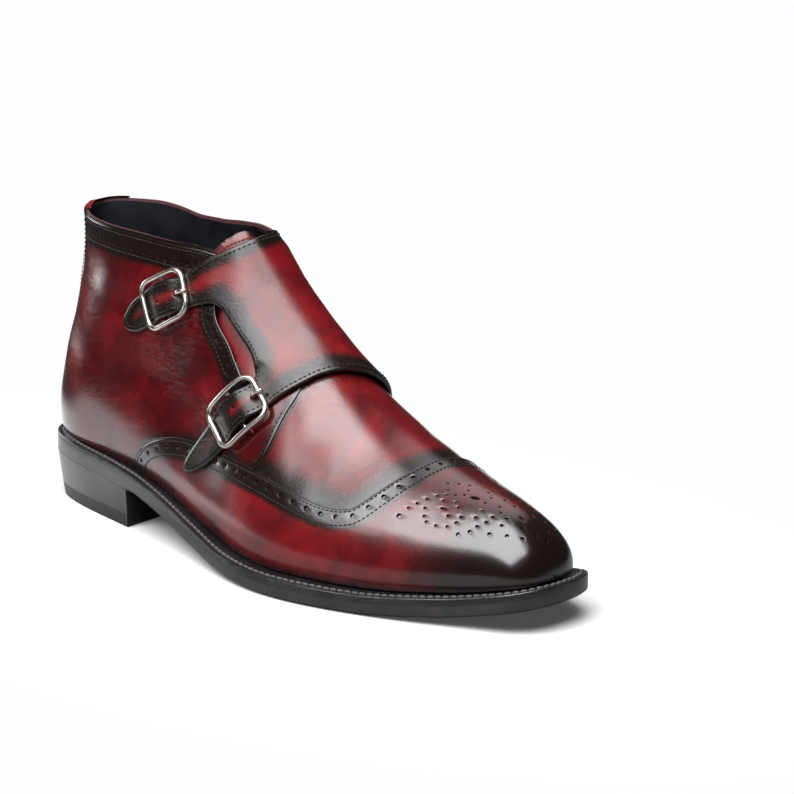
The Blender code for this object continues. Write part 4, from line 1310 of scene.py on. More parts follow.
def steel_material(colour):
    """Polished warm steel with fine rubbing marks."""
    made, n, shader = new_material("polished_steel")
    dull = n.noise(n.place(), 220.0, 2.0)
    toned(n, shader, colour, 0.86, n.step(dull, 0.35, 0.75), dull, 0.14, 0.20)
    n.feed(shader, Metallic=1.0)
    bumped(n, shader, n.noise(n.place(), 700.0, 3.0, 0.6), 0.00002)
    return made


def thread_material(name, colour):
    """Waxed thread with a fine twist."""
    made, n, shader = new_material(name)
    wave = n.add('ShaderNodeTexWave', wave_type='BANDS', bands_direction='DIAGONAL')
    twist = n.feed(wave, Vector=n.place(), Scale=900.0, Distortion=2.0).outputs['Fac']
    toned(n, shader, colour, 1.8, twist, twist, 0.10, 0.55)
    bumped(n, shader, twist, 0.00008)
    return made


def sole_edge_material(colour):
    """Waxed and ironed black leather edge with fine long marks."""
    made, n, shader = new_material("sole_edge_black")
    cloud = n.noise(n.place(), 70.0)
    toned(n, shader, colour, 2.2, n.step(cloud, 0.35, 0.8), cloud, 0.14, 0.30)
    n.feed(shader, Coat_Weight=0.25, Coat_Roughness=0.18)
    bumped(n, shader, n.noise(n.stretched((0.12, 0.12, 1.0)), 1600.0, 3.0, 0.6), 0.00003)
    return made


def rubber_material(colour):
    """Matt heel rubber with a fine speckle."""
    made, n, shader = new_material("heel_rubber_black")
    speck = n.noise(n.place(), 1200.0, 2.0)
    toned(n, shader, colour, 1.6, speck, speck, 0.15, 0.45)
    bumped(n, shader, speck, 0.00006)
    return made


def raw_edge_material(name, colour):
    """Fibrous edge of cut leather."""
    made, n, shader = new_material(name)
    fibres = n.noise(n.place(), 2200.0, 3.0, 0.7)
    toned(n, shader, colour, 0.5, fibres, fibres, 0.20, 0.50)
    bumped(n, shader, fibres, 0.0001)
    return made


# Mottle, wrinkles, coat, roughness and the coat's roughness of each calf piece.
CALF_LOOKS = {
    "vamp": (0.80, 0.80, 0.75, 0.25, 0.15),
    "quarter": (0.30, 0.70, 0.75, 0.20, 0.13),
    "wing": (0.50, 0.15, 0.90, 0.26, 0.16),
    "flap": (0.75, 0.90, 0.36, 0.29, 0.22),
    "tongue": (1.20, 0.10, 0.40, 0.34, 0.30),
}
# Roughness, coat, wrinkles, depth of the grain and shine of the black leathers.
LINING_LOOK = (0.50, 0.0, 0.3, 0.0003, 0.2)
WELT_LOOK = (0.34, 0.3, 1.5, 0.0006, 0.5)
FINISHES = {}


def make_finishes(colours):
    """All materials of the boot, once."""
    patina, grain = patina_group(), grain_group()
    for piece, look in CALF_LOOKS.items():
        FINISHES[piece] = burgundy_leather(f"burgundy_{piece}", patina, grain, colours, *look)
    FINISHES.update(
        lining=plain_leather("dark_lining", grain, colours.lining, *LINING_LOOK),
        welt=plain_leather("welt_black", grain, colours.welt, *WELT_LOOK),
        sole=sole_edge_material(colours.sole),
        rubber=rubber_material(colours.rubber),
        steel=steel_material(colours.steel),
        thread=thread_material("dark_thread", colours.thread),
        welt_thread=thread_material("welt_thread_grey", colours.welt_thread),
        raw=raw_edge_material("punched_edge", colours.raw),
        cut=raw_edge_material("cut_edge", colours.cut),
    )


# ---------------------------------------------------------------- pieces

def ride_boot(name, slot, *replaced):
    """Puts a piece on the boot's body and replaces CAD nodes; slot is not used."""
    made = bpy.data.objects[name]
    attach(made, "root")
    if replaced:
        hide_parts(*replaced)


def toe_burnish(around, up, points):
    """The toe is polished almost black, further back along its sides."""
    middle = np.interp(points[:, 0], [150, 300], [3.0, 1.5])
    reach = points[:, 0] + 0.50 * abs(points[:, 1] - middle) - 0.10 * (points[:, 2] - 40)
    return 0.97 * ease(246, 296, reach)


def heel_burnish(around, up, points):
    """Soft darkening low on the quarters and at the back of the heel."""
    low = 0.228 * (1 - ease(18, 62, points[:, 2] - underside(points[:, 0])))
    back = 0.35 * ease(0.80, 1.0, abs(wrapped(around))) * (1 - ease(0.1, 0.5, up))
    return np.maximum(low, back)


def build_lining():
    """Black calf lining, open at throat and foot."""
    shell("lining_leather", shell_levels(8, 36, 26, (0.984, 0.990)), 0.022, 200, LINING_TOP,
          LINING_LOW, ("lining",))
    ride_boot("lining_leather", "lining_leather")


def painted_shade_under_panels(around, up, points):
    """Painted shade: fully dark under the punched panels, so that their holes look deep."""
    place = np.stack([wrapped(around), up], -1)
    covers = WING_LINE, lateral_quarter_outline(), medial_quarter_outline()
    under = np.any([inside(cover, place) for cover in covers], axis=0)
    return np.where(under | (place[:, 0] < -0.42) | (place[:, 0] > 0.36), 1.0, 0.0)


def build_vamp():
    """The vamp and the strip round the collar, one shell right round."""
    levels = np.r_[0.003, shell_levels(10, 62, 30, (0.985, 0.993, 1.0))]
    burns = [
        (WING_LINE, 1.5, 15.0, 0.97),
        # painted shadow of the flap along its front edge
        (FLAP_FRONT_LINE, 0.5, 9.0, 0.55),
        (LOW_LINE, 0.3, 4.0, 0.8),
        (COLLAR_LINE, 6.5, 9.0, 1.0),
    ]
    # The vamp is painted dark as shade wherever the punched panels cover it.
    shell("vamp_leather", levels, 0.014, 300, VAMP_TOP, VAMP_LOW, ("vamp", "cut"), burns,
          painted_shade_under_panels)
    ride_boot("vamp_leather", "burgundy_leather", "upper")


def row_of_holes(line, pitch, radius, start):
    """Round holes along a chart line, the first at least start from its end."""
    places = stepped(line, pitch, start)
    along, _ = directions(places)
    return [round_hole(place, way, radius, radius) for place, way in zip(places, along)]


# Rows of punched holes: pitch, radius and least distance from the row's ends, in mm.
WING_HOLES = (7.6, 1.05, 5.0)
QUARTER_HOLES = (4.4, 0.84, 5.0)
STRIP_HOLES = (3.9, 0.72, 0.5)

# Toe ornament: distance across from the crest and along it from the ornament's
# middle toward the instep, both in mm; each group has its own half length, half
# width and turn of the long side from the crest.
MEDALLION = (
    (0.60, 0.60, 0, (
        (10.0, 23.0), (6.7, 21.0), (3.8, 18.2), (13.1, 18.2), (16.2, 14.6), (19.7, 15.1),
        (24.7, 14.0), (30.5, 11.3), (36.3, 8.2), (7.1, 14.6), (10.6, 11.8), (13.4, 13.2),
        (17.1, 7.4), (18.8, 3.4), (20.2, 10.6), (30.4, 6.7), (1.6, 9.6), (3.9, 5.2),
        (8.3, 2.6), (13.1, -2.4), (0.0, 1.3), (5.7, -2.4), (0.0, -4.2), (7.9, -6.2))),
    (0.78, 0.78, 0, (
        (26.7, -2.0), (35.4, -0.2), (37.8, -4.8), (36.2, -8.2), (32.4, -9.6), (27.4, -7.8),
        (23.0, -4.4), (18.3, -6.2), (21.7, -12.0), (16.8, -10.2), (12.4, -7.8), (8.4, -10.4),
        (12.8, -13.6), (6.4, -17.3), (3.5, -22.0), (0.0, -25.8))),
    (0.94, 0.94, 0, (
        (31.8, -15.1), (26.4, -14.4), (20.2, -17.2), (14.6, -19.6), (9.8, -22.2))),
    (2.35, 1.20, 24, ((9.0, 7.6),)),
    (1.60, 0.72, 30, ((24.5, 4.0),)),
    (1.60, 0.78, 8, ((3.2, -12.6),)),
    (1.20, 1.20, 0, ((45.0, 1.3),)),
)
MEDALLION_MIDDLE = 0.190  # up
SIDEWAYS_STEP = 1.5  # longest single move across from the crest


def medallion_holes():
    """Traditional symmetrical punched ornament on the toe."""
    holes = []
    for length, width, turn, places in MEDALLION:
        for across, along in places:
            for side in ((1, -1) if across else (1,)):
                place = np.array([0.0, MEDALLION_MIDDLE + along / LAST.front_length])
                steps = max(1, int(across / SIDEWAYS_STEP))
                for _ in range(steps):
                    by_around, _ = LAST.slopes(*place)
                    place = place + LAST.shares_for(*place, unit(by_around) * side * across / steps)
                by_around, by_up = LAST.slopes(*place)
                angle = math.radians(turn) * side
                way = math.cos(angle) * unit(by_up) + math.sin(angle) * unit(by_around)
                way = unit(way - (way @ LAST.normal(*place)) * LAST.normal(*place))
                holes.append(round_hole(place, way, length, width))
    return holes


def build_wing(border):
    """Wing tip with its brogued border and the punched ornament on the toe."""
    welt = seam(((0.658, 0.0), (0.4, 0.0), (0.2, 0.0), (0.05, 0.0), (-0.05, 0.0), (-0.2, 0.0),
                 (-0.4, 0.0), (-0.668, 0.0)), 1.1)
    holes = row_of_holes(beside(WING_LINE, -border / 2), *WING_HOLES) + medallion_holes()
    burns = [(WING_LINE, 7.0, 11.5, 0.96), (WELT_LINE, 1.0, 7.0, 0.55)]
    panel("wing_tip_leather", np.vstack([WING_LINE, welt[1:-1]]), constant(WING_LOW),
          constant(WING_TOP), "wing", burns, holes, 2.0, 0.55, toe_burnish, WING_TOP)
    ride_boot("wing_tip_leather", "burgundy_leather")


def part_of(line, first, last):
    """The stretch of a chart line whose around is between two values."""
    return line[(line[:, 0] >= first) & (line[:, 0] <= last)]


def lateral_quarter_outline():
    """Chart outline of the lateral quarter; part of its front edge is hidden by the flap."""
    hidden = seam(((-0.300, 0.672), (-0.262, 0.664), (-0.205, 0.658), (-0.160, 0.645)))
    welt = seam(((-0.668, 0.0), (-0.85, 0.0), (-1.0, 0.0)), 2.5)
    back = seam(((-1.0, 0.0), (-1.0, 0.5), (-1.0, 1.003)), 2.5)
    return np.vstack([seam(COLLAR_SEAM_LATERAL)[:-1], seam(THROAT_SEAM)[:-1], hidden[:-1], LOW_LINE,
                      part_of(WING_LINE, -1.0, -0.383)[::-1], welt[1:-1], back[:-1]])


def medial_quarter_outline():
    """Chart outline of the medial quarter."""
    behind = part_of(WING_LINE, 0.335, 1.0)
    welt = seam(((0.658, 0.0), (0.85, 0.0), (1.0, 0.0)), 2.5)
    back = seam(((1.0, 0.0), (1.0, 0.5), (1.0, 1.003)), 2.5)
    return np.vstack([seam(MEDIAL_SEAM)[:-1], behind[behind[:, 0].argsort()], welt[1:-1], back[:-1],
                      seam(COLLAR_SEAM_MEDIAL)[::-1][:-1]])


# Distance of the holes and of both stitch rows from the quarters' edge: under the
# collar and beside the throat, in mm.
HOLES_INSIDE = (7.1, 3.6)
ROWS_INSIDE = ((1.6, 1.3), (9.4, 6.8))


def quarter_row(border, insets):
    """Line inside a quarter's upper border, at its own distance from collar and front."""
    rows = [beside(line, -inset) for line, inset in zip(border, insets)]
    kept = []
    for row, other, inset in zip(rows, border[::-1], insets[::-1]):
        kept.append(row[surface_gap(other, row) > 0.97 * inset])
    if border[0][0, 0] > 0:      # the medial border runs up the front first
        kept = kept[::-1]
    return np.vstack(kept)


def quarter_borders():
    """Collar, as far as the back strip, and front edge of the lateral and the medial quarter."""
    return ((part_of(seam(COLLAR_SEAM_LATERAL), -0.965, 0.0), seam(THROAT_SEAM)),
            (part_of(seam(COLLAR_SEAM_MEDIAL), 0.0, 0.965), seam(MEDIAL_SEAM)[::-1]))


def build_quarters():
    """Both quarters, with their brogued upper and front edges."""
    seat = BUCKLE_SEATS["lower"]
    # Painted shadow of the lower strap on the lateral quarter, along the strap's middle.
    painted_strap_shadow = np.stack(seat.chart_at(np.linspace(12, -38, 12), np.zeros(12)), -1)
    lateral, medial = quarter_borders()
    sides = (
        ("quarter_lateral_leather", lateral_quarter_outline(), lateral, constant(QUARTER_LOW),
         constant(QUARTER_TOP), [(LOW_LINE, 0.5, 4.0, 0.85), (painted_strap_shadow, 6.0, 13.0, 0.45)]),
        ("quarter_medial_leather", medial_quarter_outline(), medial, medial_low, medial_top, []),
    )
    for name, outline, border, low, high, own_burns in sides:
        holes = row_of_holes(quarter_row(border, HOLES_INSIDE), *QUARTER_HOLES)
        burns = [
            (border[0], 10.0, 14.0, 0.97),
            (border[1], 6.8, 10.5, 0.97),
            (WING_LINE, 0.5, 6.0, 0.7),
            (WELT_LINE, 1.0, 8.0, 0.5),
        ]
        panel(name, outline, low, high, "quarter", burns + own_burns, holes, 2.3, 0.5, heel_burnish)
        ride_boot(name, "burgundy_leather")


STRIP_LOW, STRIP_TOP = 0.03, 0.45
STRIP_STAND = 0.007  # how far the strip stands above the collar, as a share of its height
STRIP_ROWS = (5.1, 11.0)  # rows of stitches across the strip, mm below the rim
STRIP_HOLE_ROW = 8.4  # row of holes across it
STRIP_TURN = 0.35  # how far inside the lining the strip's turned-over top reaches, in mm


def back_strip_sides():
    """The strip's medial and lateral edges, from the welt up."""
    half = np.array(BACK_STRIP_HALF)
    ups = np.linspace(0.0, 1.0, 60)
    width = natural_spline(*half.T)(ups)
    by_around, _ = LAST.slopes(np.full(60, 0.999), ups)
    step = width / np.linalg.norm(by_around, axis=1)
    return [np.c_[-1 + turn * step, rimmed(-1 + turn * step, ups) + STRIP_STAND * ups**20]
            for turn in (-1, 1)]


def strip_line(below):
    """Line across the back strip at a distance in mm below the rim."""
    medial, lateral = back_strip_sides()
    around = np.linspace(medial[-1, 0] + 0.012, lateral[-1, 0] - 0.012, 20)
    return np.c_[around, rim_at(around) - below / COLLAR_HEIGHT_ABOVE_WELT]


def strip_low(around, up):
    """Underside of the back strip; over the rim it reaches down inside the lining."""
    turned = ease(0.001, 0.006, up - rim_at(around))
    return STRIP_LOW + (LINING_LOW - STRIP_TURN - STRIP_LOW) * turned


def build_back_strip():
    """Strip over the back seam; its top is turned over the collar."""
    medial, lateral = back_strip_sides()
    around = np.linspace(medial[-1, 0], lateral[-1, 0], 14)[1:-1]
    top = np.c_[around, rim_at(around) + STRIP_STAND]
    burns = [(side, 0.6, 4.5, 0.9) for side in (lateral, medial)]
    burns += [(strip_line(below), 3.0, 5.5, 1.0) for below in (6.0, 10.5)]
    holes = row_of_holes(strip_line(STRIP_HOLE_ROW), *STRIP_HOLES)
    panel("back_strip_leather", np.vstack([lateral[::-1], medial, top]), strip_low,
          constant(STRIP_TOP), "flap", burns, holes, 2.0, 0.4)
    ride_boot("back_strip_leather", "burgundy_leather")


def build_tongue():
    """Tongue behind the throat."""
    burns = [(full_turn(TONGUE_LOOP), 0.4, 3.0, 0.7)]
    panel("tongue_leather", TONGUE_LOOP, constant(TONGUE_LOW), constant(TONGUE_TOP), "tongue",
          burns, (), 2.4, 0.6, burn_height=TONGUE_TOP)
    ride_boot("tongue_leather", "burgundy_leather", "tongue")


STRAP_HOLE_RADII = (1.35, 0.75)  # of the prong's hole and of the spare one


def strap_holes():
    """The prong's hole and a spare one in each strap."""
    holes = []
    turns = circle_angles(14)
    for name, seat in BUCKLE_SEATS.items():
        for (s, t), radius in zip((PRONG_HOLE[name], SECOND_HOLE[name]), STRAP_HOLE_RADII):
            ring = seat.chart_at(s + radius * np.cos(turns), t + radius * np.sin(turns))
            holes.append(np.stack(ring, -1))
    return holes


def strap_burnish(around, up, points):
    """Straps are nearly black but for worn red spots along their middle."""
    dark = np.zeros(len(points))
    for name, seat in BUCKLE_SEATS.items():
        s, t = seat.flat(points)
        worn = np.zeros(len(points))
        for first_s, first_t, last_s, last_t, reach in WORN_SPOTS[name]:
            share = np.clip((s - first_s) / (last_s - first_s), 0, 1)
            gap = np.hypot(s - first_s - share * (last_s - first_s),
                           1.5 * (t - first_t - share * (last_t - first_t)))
            worn = np.maximum(worn, np.exp(-(gap / reach)**2))
        own = (1 - ease(9, 21, s)) * (0.98 - 0.8 * worn)
        dark = np.where(seat.on_strap(points, around, 11), np.maximum(dark, own), dark)
    return dark


def build_monk_strap():
    """Flap and its two straps, cut from one thick piece."""
    outline = flap_outline()
    line = full_turn(outline)
    burns = [
        (line[past_medial_seam(*line.T) > 2.0], 3.2, 9.5, 0.97),
        (seam(FLAP_WINDOW[3:]), 5.5, 13.0, 0.97),
        (seam(FLAP_FRONT[3:]), 5.0, 12.5, 0.9),
    ]
    panel("flap_and_straps_leather", outline, flap_low, flap_top, "flap", burns, strap_holes(),
          2.0, 0.95, strap_burnish, burn_height=1.8)
    ride_boot("flap_and_straps_leather", "burgundy_leather", "monk_strap")


def rounded_rectangle(length, width, corner):
    """Closed path of a rectangle with round corners, s along and t across."""
    path = []
    for number, signs in enumerate(((1, 1), (-1, 1), (-1, -1), (1, -1))):
        centre = np.array(signs) * (length / 2 - corner, width / 2 - corner)
        angles = math.pi / 2 * (number + np.linspace(0, 1, 10))
        path.append(centre + corner * np.c_[np.cos(angles), np.sin(angles)])
    return resampled(np.vstack(path), 72)


# A prong from its root to its tip: share of the way, and height over the skin.
PRONG_TOP = FRAME_RISE + FRAME_WIRE
PRONG_PATH = (
    (-0.08, 1.0), (0.0, 2.0), (0.12, 3.5), (0.30, PRONG_TOP + 0.25), (0.50, PRONG_TOP + 0.75),
    (0.68, PRONG_TOP + 0.85), (0.86, PRONG_TOP + 0.65), (1.0, PRONG_TOP - 0.1),
)


def build_buckles():
    """Wire frames with a dipped middle bar, and their prongs."""
    for name, seat in BUCKLE_SEATS.items():
        length, width = FRAME_SIZES[name]
        path = rounded_rectangle(length, width, FRAME_CORNER)
        ring = tube_mesh(seat.place(*path.T, FRAME_RISE), FRAME_WIRE,
                         LAST.normal(*seat.chart_at(*path.T)), closed=True, sides=18)
        across = np.linspace(-1, 1, 25)
        rises = BAR_RISE + (FRAME_RISE - BAR_DROP - BAR_RISE) * ease(*BAR_BEND, abs(across))
        bar = tube_mesh(seat.place(np.zeros(25), across * width / 2, rises), BAR_WIRE, seat.along)
        new_object(f"buckle_{name}_frame", *joined([ring, bar]), ("steel",), sharp=60)
        ride_boot(f"buckle_{name}_frame", "buckle_steel", f"buckle_{name}")

        hole, tip = np.array(PRONG_HOLE[name]), np.array(PRONG_TIP[name])
        share, rises = np.transpose(PRONG_PATH)
        smooth = curve_through(np.c_[hole + (tip - hole) * share[:, None], rises], 20)
        radii = PRONG_WIRE * np.sqrt(np.clip(1 - (np.linspace(-1, 1, 20) * 0.96)**8, 0.05, 1))
        prong = tube_mesh(seat.place(*smooth.T), radii, seat.across)
        new_object(f"prong_{name}_pin", *prong, ("steel",), sharp=60)
        ride_boot(f"prong_{name}_pin", "buckle_steel", f"prong_{name}")


# ---------------------------------------------------------------- stitching

# A raised stitch: share of its length, share of its radius, rise in mm.
STITCH_PROFILE = ((-0.5, 0.25, -0.16), (-0.36, 0.85, 0.05), (0.0, 1.0, 0.16), (0.36, 0.85, 0.05),
                  (0.5, 0.25, -0.16))
STITCH_LENGTH = 0.80  # share of the pitch that the thread covers
STITCH_FLATNESS = 0.9
STITCH_SIDES = 6
FLAP_ROW_INSIDE, TONGUE_ROW_INSIDE = 2.1, 3.0


def stitch_row(chart, height, pitch, radius):
    """Stitches along a chart line on the surface that height(around, up) gives."""
    places = stepped(chart, pitch, 1.5)
    middles = (places[:-1] + places[1:]) / 2
    ways = unit(np.diff(LAST.point(*places.T), axis=0))
    centres = skin(*middles.T, height(*middles.T))
    outs = LAST.normal(*middles.T)
    across = unit(np.cross(outs, ways))
    rings = []
    for along, thick, rise in STITCH_PROFILE:
        middle = centres + ways * along * (pitch * STITCH_LENGTH) + outs * rise
        for turn in circle_angles(STITCH_SIDES):
            spoke = math.cos(turn) * across + math.sin(turn) * outs * STITCH_FLATNESS
            rings.append(middle + spoke * thick * radius)
    per = len(rings)
    own = ring_faces(len(STITCH_PROFILE), STITCH_SIDES)
    own += [tuple(range(STITCH_SIDES))[::-1], tuple(range(per - STITCH_SIDES, per))]
    faces = [tuple(i + n * per for i in face) for n in range(len(middles)) for face in own]
    return np.stack(rings, 1).reshape(-1, 3), faces


def build_stitching(border, pitch, radius):
    """All rows of upper stitching, a piece for each leather part."""
    line = full_turn(flap_outline())
    flap_row = beside(line if is_left_turning(line[:-1]) else line[::-1], FLAP_ROW_INSIDE)
    tongue = TONGUE_LOOP if is_left_turning(TONGUE_LOOP) else TONGUE_LOOP[::-1]
    wing, quarter, strip = constant(WING_TOP), constant(QUARTER_TOP), constant(STRIP_TOP)
    lateral_border, medial_border = quarter_borders()
    medial_side, lateral_side = back_strip_sides()
    rows = {
        "wing_stitches": [(beside(WING_LINE, -1.3), wing), (beside(WING_LINE, 0.2 - border), wing)],
        "quarter_stitches": [
            *((quarter_row(lateral_border, insets), quarter) for insets in ROWS_INSIDE),
            *((quarter_row(medial_border, insets), medial_top) for insets in ROWS_INSIDE),
            (beside(LOW_LINE[8:], -1.8), quarter),
        ],
        "back_strip_stitches": [
            (beside(medial_side, 1.8), strip),
            (beside(lateral_side, -1.8), strip),
            *((strip_line(below), strip) for below in STRIP_ROWS),
        ],
        "flap_stitches": [(flap_row[past_medial_seam(*flap_row.T) > 1.5], flap_top)],
        "tongue_stitches": [(beside(full_turn(tongue), TONGUE_ROW_INSIDE), constant(TONGUE_TOP))],
    }
    for name, lines in rows.items():
        stitches = joined([stitch_row(line, height, pitch, radius) for line, height in lines])
        new_object(name, *stitches, ("thread",), sharp=80)
        ride_boot(name, "burgundy_leather")


# ---------------------------------------------------------------- sole unit

HEEL_BREAST = 24.5 / 100 * BOOT_LENGTH
HEEL_TAPER = 0.04  # share of its half width by which the heel narrows to the floor
HEEL_HALF_WIDTH = 34.0
HEEL_MIDDLE = 40.0  # place at which the heel's height is taken
BREAST_HOLLOW = 2.5
BACK_REACH = 1.5  # how far sole and heel stand out behind the heel seat, in mm
BACK_REACH_ENDS = (15, 62)  # places between which that fades
WELT_STITCH_INSET = 2.7
WELT_STITCH_RADIUS = 0.70
# Outsole's side: inset, further inset ahead of the heel, height over the underside, in mm.
SOLE_SIDE = ((0.03, 1.9, 0.0), (0.0, 1.1, 0.45), (0.0, 0.45, 0.95), (0.0, 0.10, 1.25),
             (0.0, 0.0, 1.6), (0.0, 0.0, OUTSOLE_THICKNESS + 0.15))
# Welt from its outer top edge round its side to its underside: inset, drop under its top.
WELT_SIDE = ((3.6, 0.0), (1.5, 0.0), (0.85, 0.06), (0.45, 0.02), (0.14, 0.30), (0.0, 0.70))
# A welt stitch: share of the way, rise in mm, share of the thread's radius.
WELT_STITCH = ((0.10, -0.25, 0.5), (0.2, 0.06, 0.9), (0.5, 0.16, 1.0), (0.8, 0.06, 0.9),
               (0.90, -0.25, 0.5))


def back_reach(x):
    """How far sole and heel stand out behind the heel seat, in mm."""
    return BACK_REACH * (1 - ease(*BACK_REACH_ENDS, x))


def stack(name, loop, profile, finish, spacing=5.0):
    """A closed solid whose side follows a profile of insets and heights, both functions of x.

    The profile runs from the lowest ring to the highest; both ends are filled.
    """
    rings = []
    for inset, height in profile:
        flat = shrunk(loop, inset(loop[:, 0]))
        rings.append(np.c_[flat, height(flat[:, 0])])
    count = len(loop)
    faces = ring_faces(len(rings), count)
    points = list(np.vstack(rings))
    for row, turn in ((0, -1), (len(rings) - 1, 1)):
        ring_flat = rings[row][:, :2]
        flat, triangles, mark = fill(ring_flat, spacing)
        heights = profile[row][1](flat[:, 0])
        number = np.zeros(len(flat), int)
        for i, place in enumerate(flat):
            if mark[i] == 0:
                number[i] = row * count + int(((ring_flat - place)**2).sum(1).argmin())
            else:
                number[i] = len(points)
                points.append(np.array([*place, heights[i]]))
        faces += [tuple(face[::turn]) for face in number[triangles]]
    new_object(name, points, faces, (finish,), sharp=50)


def heel_loop():
    """Outline of the heel seat with its hollow breast."""
    half = len(OUTLINE) // 2
    lateral = OUTLINE[:half][OUTLINE[:half, 0] <= HEEL_BREAST]
    medial = OUTLINE[half:][OUTLINE[half:, 0] <= HEEL_BREAST]
    across = np.linspace(lateral[-1, 1], medial[0, 1], 40)
    bow = 1 - ((across - across.mean()) / (across[-1] - across[0]) * 2)**2
    breast = np.c_[HEEL_BREAST - BREAST_HOLLOW * bow, across]
    loop = resampled(np.vstack([medial, lateral, breast[1:-1]]), 150)
    return shrunk(loop, -back_reach(loop[:, 0]))


def heel_profile(low, high):
    """Tapered side of part of the heel between two heights."""
    def row(share):
        def height(x):
            return low(x) * (1 - share) + high(x) * share
        below = 1 - float(height(np.array([HEEL_MIDDLE]))[0]) / (HEEL_HEIGHT * 1.1)
        return lambda x: below * (HEEL_TAPER * HEEL_HALF_WIDTH + 0.85 * back_reach(x)), height
    return [row(share) for share in (0.0, 0.5, 1.0)]


def over_sole(rise):
    """Height at a rise over the sole's underside."""
    return lambda x: underside(x) + rise


def build_outsole(rim):
    """Leather outsole with an eased lower edge ahead of the heel."""
    def side(inset, ahead):
        return lambda x: inset + ahead * ease(HEEL_BREAST - 3, HEEL_BREAST + 6, x)
    profile = [(side(inset, ahead), over_sole(rise)) for inset, ahead, rise in SOLE_SIDE]
    stack("outsole_leather", rim, profile, "sole")
    ride_boot("outsole_leather", "sole_leather", "outsole")


def build_welt(outline, stitch_pitch):
    """Welt strip right round the boot, and its stitches."""
    base, top = OUTSOLE_THICKNESS + 0.16, WELT_TOP
    outer = outline[::2]
    inner = upper_outline(UPPER_FOOT - 0.5)[::2]
    rows = [(inner, base), (inner, top)]
    rows += [(shrunk(outer, inset), top - drop) for inset, drop in WELT_SIDE] + [(outer, base)]
    points = np.vstack([np.c_[flat, underside(flat[:, 0]) + rise] for flat, rise in rows])
    faces = ring_faces(len(rows), len(outer), closed=True, turned=True)
    new_object("welt_strip_leather", points, faces, ("welt",), sharp=35)
    ride_boot("welt_strip_leather", "welt_leather", "welt")

    line = full_turn(outline + np.repeat(inward(outer), 2, 0) * WELT_STITCH_INSET)
    line = np.c_[line, underside(line[:, 0]) + top]
    run = run_along(line)
    count = int(run[-1] // stitch_pitch)
    places = places_at(np.arange(count + 1) * run[-1] / count, run, line)
    share, rise, thick = np.transpose(WELT_STITCH)
    stitches = []
    for start, end in zip(places[:-1], places[1:]):
        path = start + (end - start) * share[:, None]
        path[:, 2] += rise
        stitches.append(tube_mesh(path, thick * WELT_STITCH_RADIUS, (0, 0, 1), sides=6))
    new_object("welt_stitches", *joined(stitches), ("welt_thread",), sharp=80)
    ride_boot("welt_stitches", "welt_leather")


def build_sole(stitch_pitch):
    """Outsole, welt with its stitches, insole and the stacked heel."""
    outline = shrunk(OUTLINE, -back_reach(OUTLINE[:, 0]))
    build_outsole(resampled(outline, 300))
    build_welt(outline, stitch_pitch)

    sock = resampled(upper_outline(UPPER_FOOT + 2 * GAP), 160)
    insole_side = ((0.4, OUTSOLE_THICKNESS + GAP), (0.0, OUTSOLE_THICKNESS + 0.9),
                   (0.0, WELT_TOP + 1.9), (0.6, WELT_TOP + 2.4))
    profile = [(constant(inset), over_sole(rise)) for inset, rise in insole_side]
    stack("insole_leather", sock, profile, "lining", 6.0)
    ride_boot("insole_leather", "lining_leather", "insole")

    loop = heel_loop()
    lifts = heel_profile(constant(TOP_LIFT_THICKNESS + 0.01), over_sole(-0.01))
    stack("heel_stack_leather", loop, lifts, "sole")
    ride_boot("heel_stack_leather", "sole_leather", "heel_stack")
    lifts = heel_profile(constant(0.0), constant(TOP_LIFT_THICKNESS))
    stack("top_lift_rubber", loop, lifts, "rubber")
    ride_boot("top_lift_rubber", "heel_rubber", "top_lift")


# ---------------------------------------------------------------- stage

CAMERA_AZIMUTH = 46.9
CAMERA_ELEVATION = 15.7
CAMERA_DISTANCE = 1.4
CAMERA_TARGET = (150.0, 0.0, 45.0)
CAMERA_AIM = (42.13508, 22.04793)  # how far right of the target and above it the camera looks, mm
FOCAL_SHARE = 4.0466  # focal length as a share of the sensor's width
# Softboxes, level with the floor: place, size, turn in degrees, radiance.
SOFTBOXES = {
    "overhead softbox": ((0.30, -0.79, 1.345), (1.52, 2.10), -10.0, 7.8),
    "side softbox": ((-0.39, -1.28, 1.345), (0.84, 1.50), -28.0, 5.6),
}
SOFTBOX_EDGE = 0.16  # share of each side over which the light fades
# Bright wall behind the heel and dim light above the inner side: way, spread, radiance.
WALL = ((-0.99, -0.05, 0.0), (0.92, 0.985), 5.5)
FILL = ((-0.49, 0.41, 0.77), (0.895, 0.985), 1.2)
STUDIO_GLOW = 0.035  # radiance of all other ways
PAPER_WHITE = 0.99
PAPER_GLOW = 0.06  # light that comes up through the paper, seen in the shadow
PAPER_SHARE = 0.70  # reflectance of the paper close to the boot
WHITE_RING = (0.19, 0.34)  # distances in metres over which the paper turns white
FLOOR_REACH = 6.0
FLOOR_DROP = 0.0002  # keeps the floor just under the soles, in metres


def build_camera():
    """Long lens that looks at the toe and the outer side from a little above."""
    turn, rise = math.radians(CAMERA_AZIMUTH), math.radians(CAMERA_ELEVATION)
    back = np.array([math.sin(turn) * math.cos(rise), -math.cos(turn) * math.cos(rise), math.sin(rise)])
    right = unit(np.cross(-back, (0, 0, 1)))
    upward = np.cross(right, -back)
    target = in_frame(CAMERA_TARGET)
    place = target + back * CAMERA_DISTANCE
    aim = target + (right * CAMERA_AIM[0] + upward * CAMERA_AIM[1]) * MM
    data = bpy.data.cameras.new("camera")
    data.lens = FOCAL_SHARE * data.sensor_width
    camera = linked("camera", data)
    camera.location = place
    camera.rotation_mode = 'QUATERNION'
    camera.rotation_quaternion = Vector(aim - place).to_track_quat('-Z', 'Y')
    bpy.context.scene.camera = camera


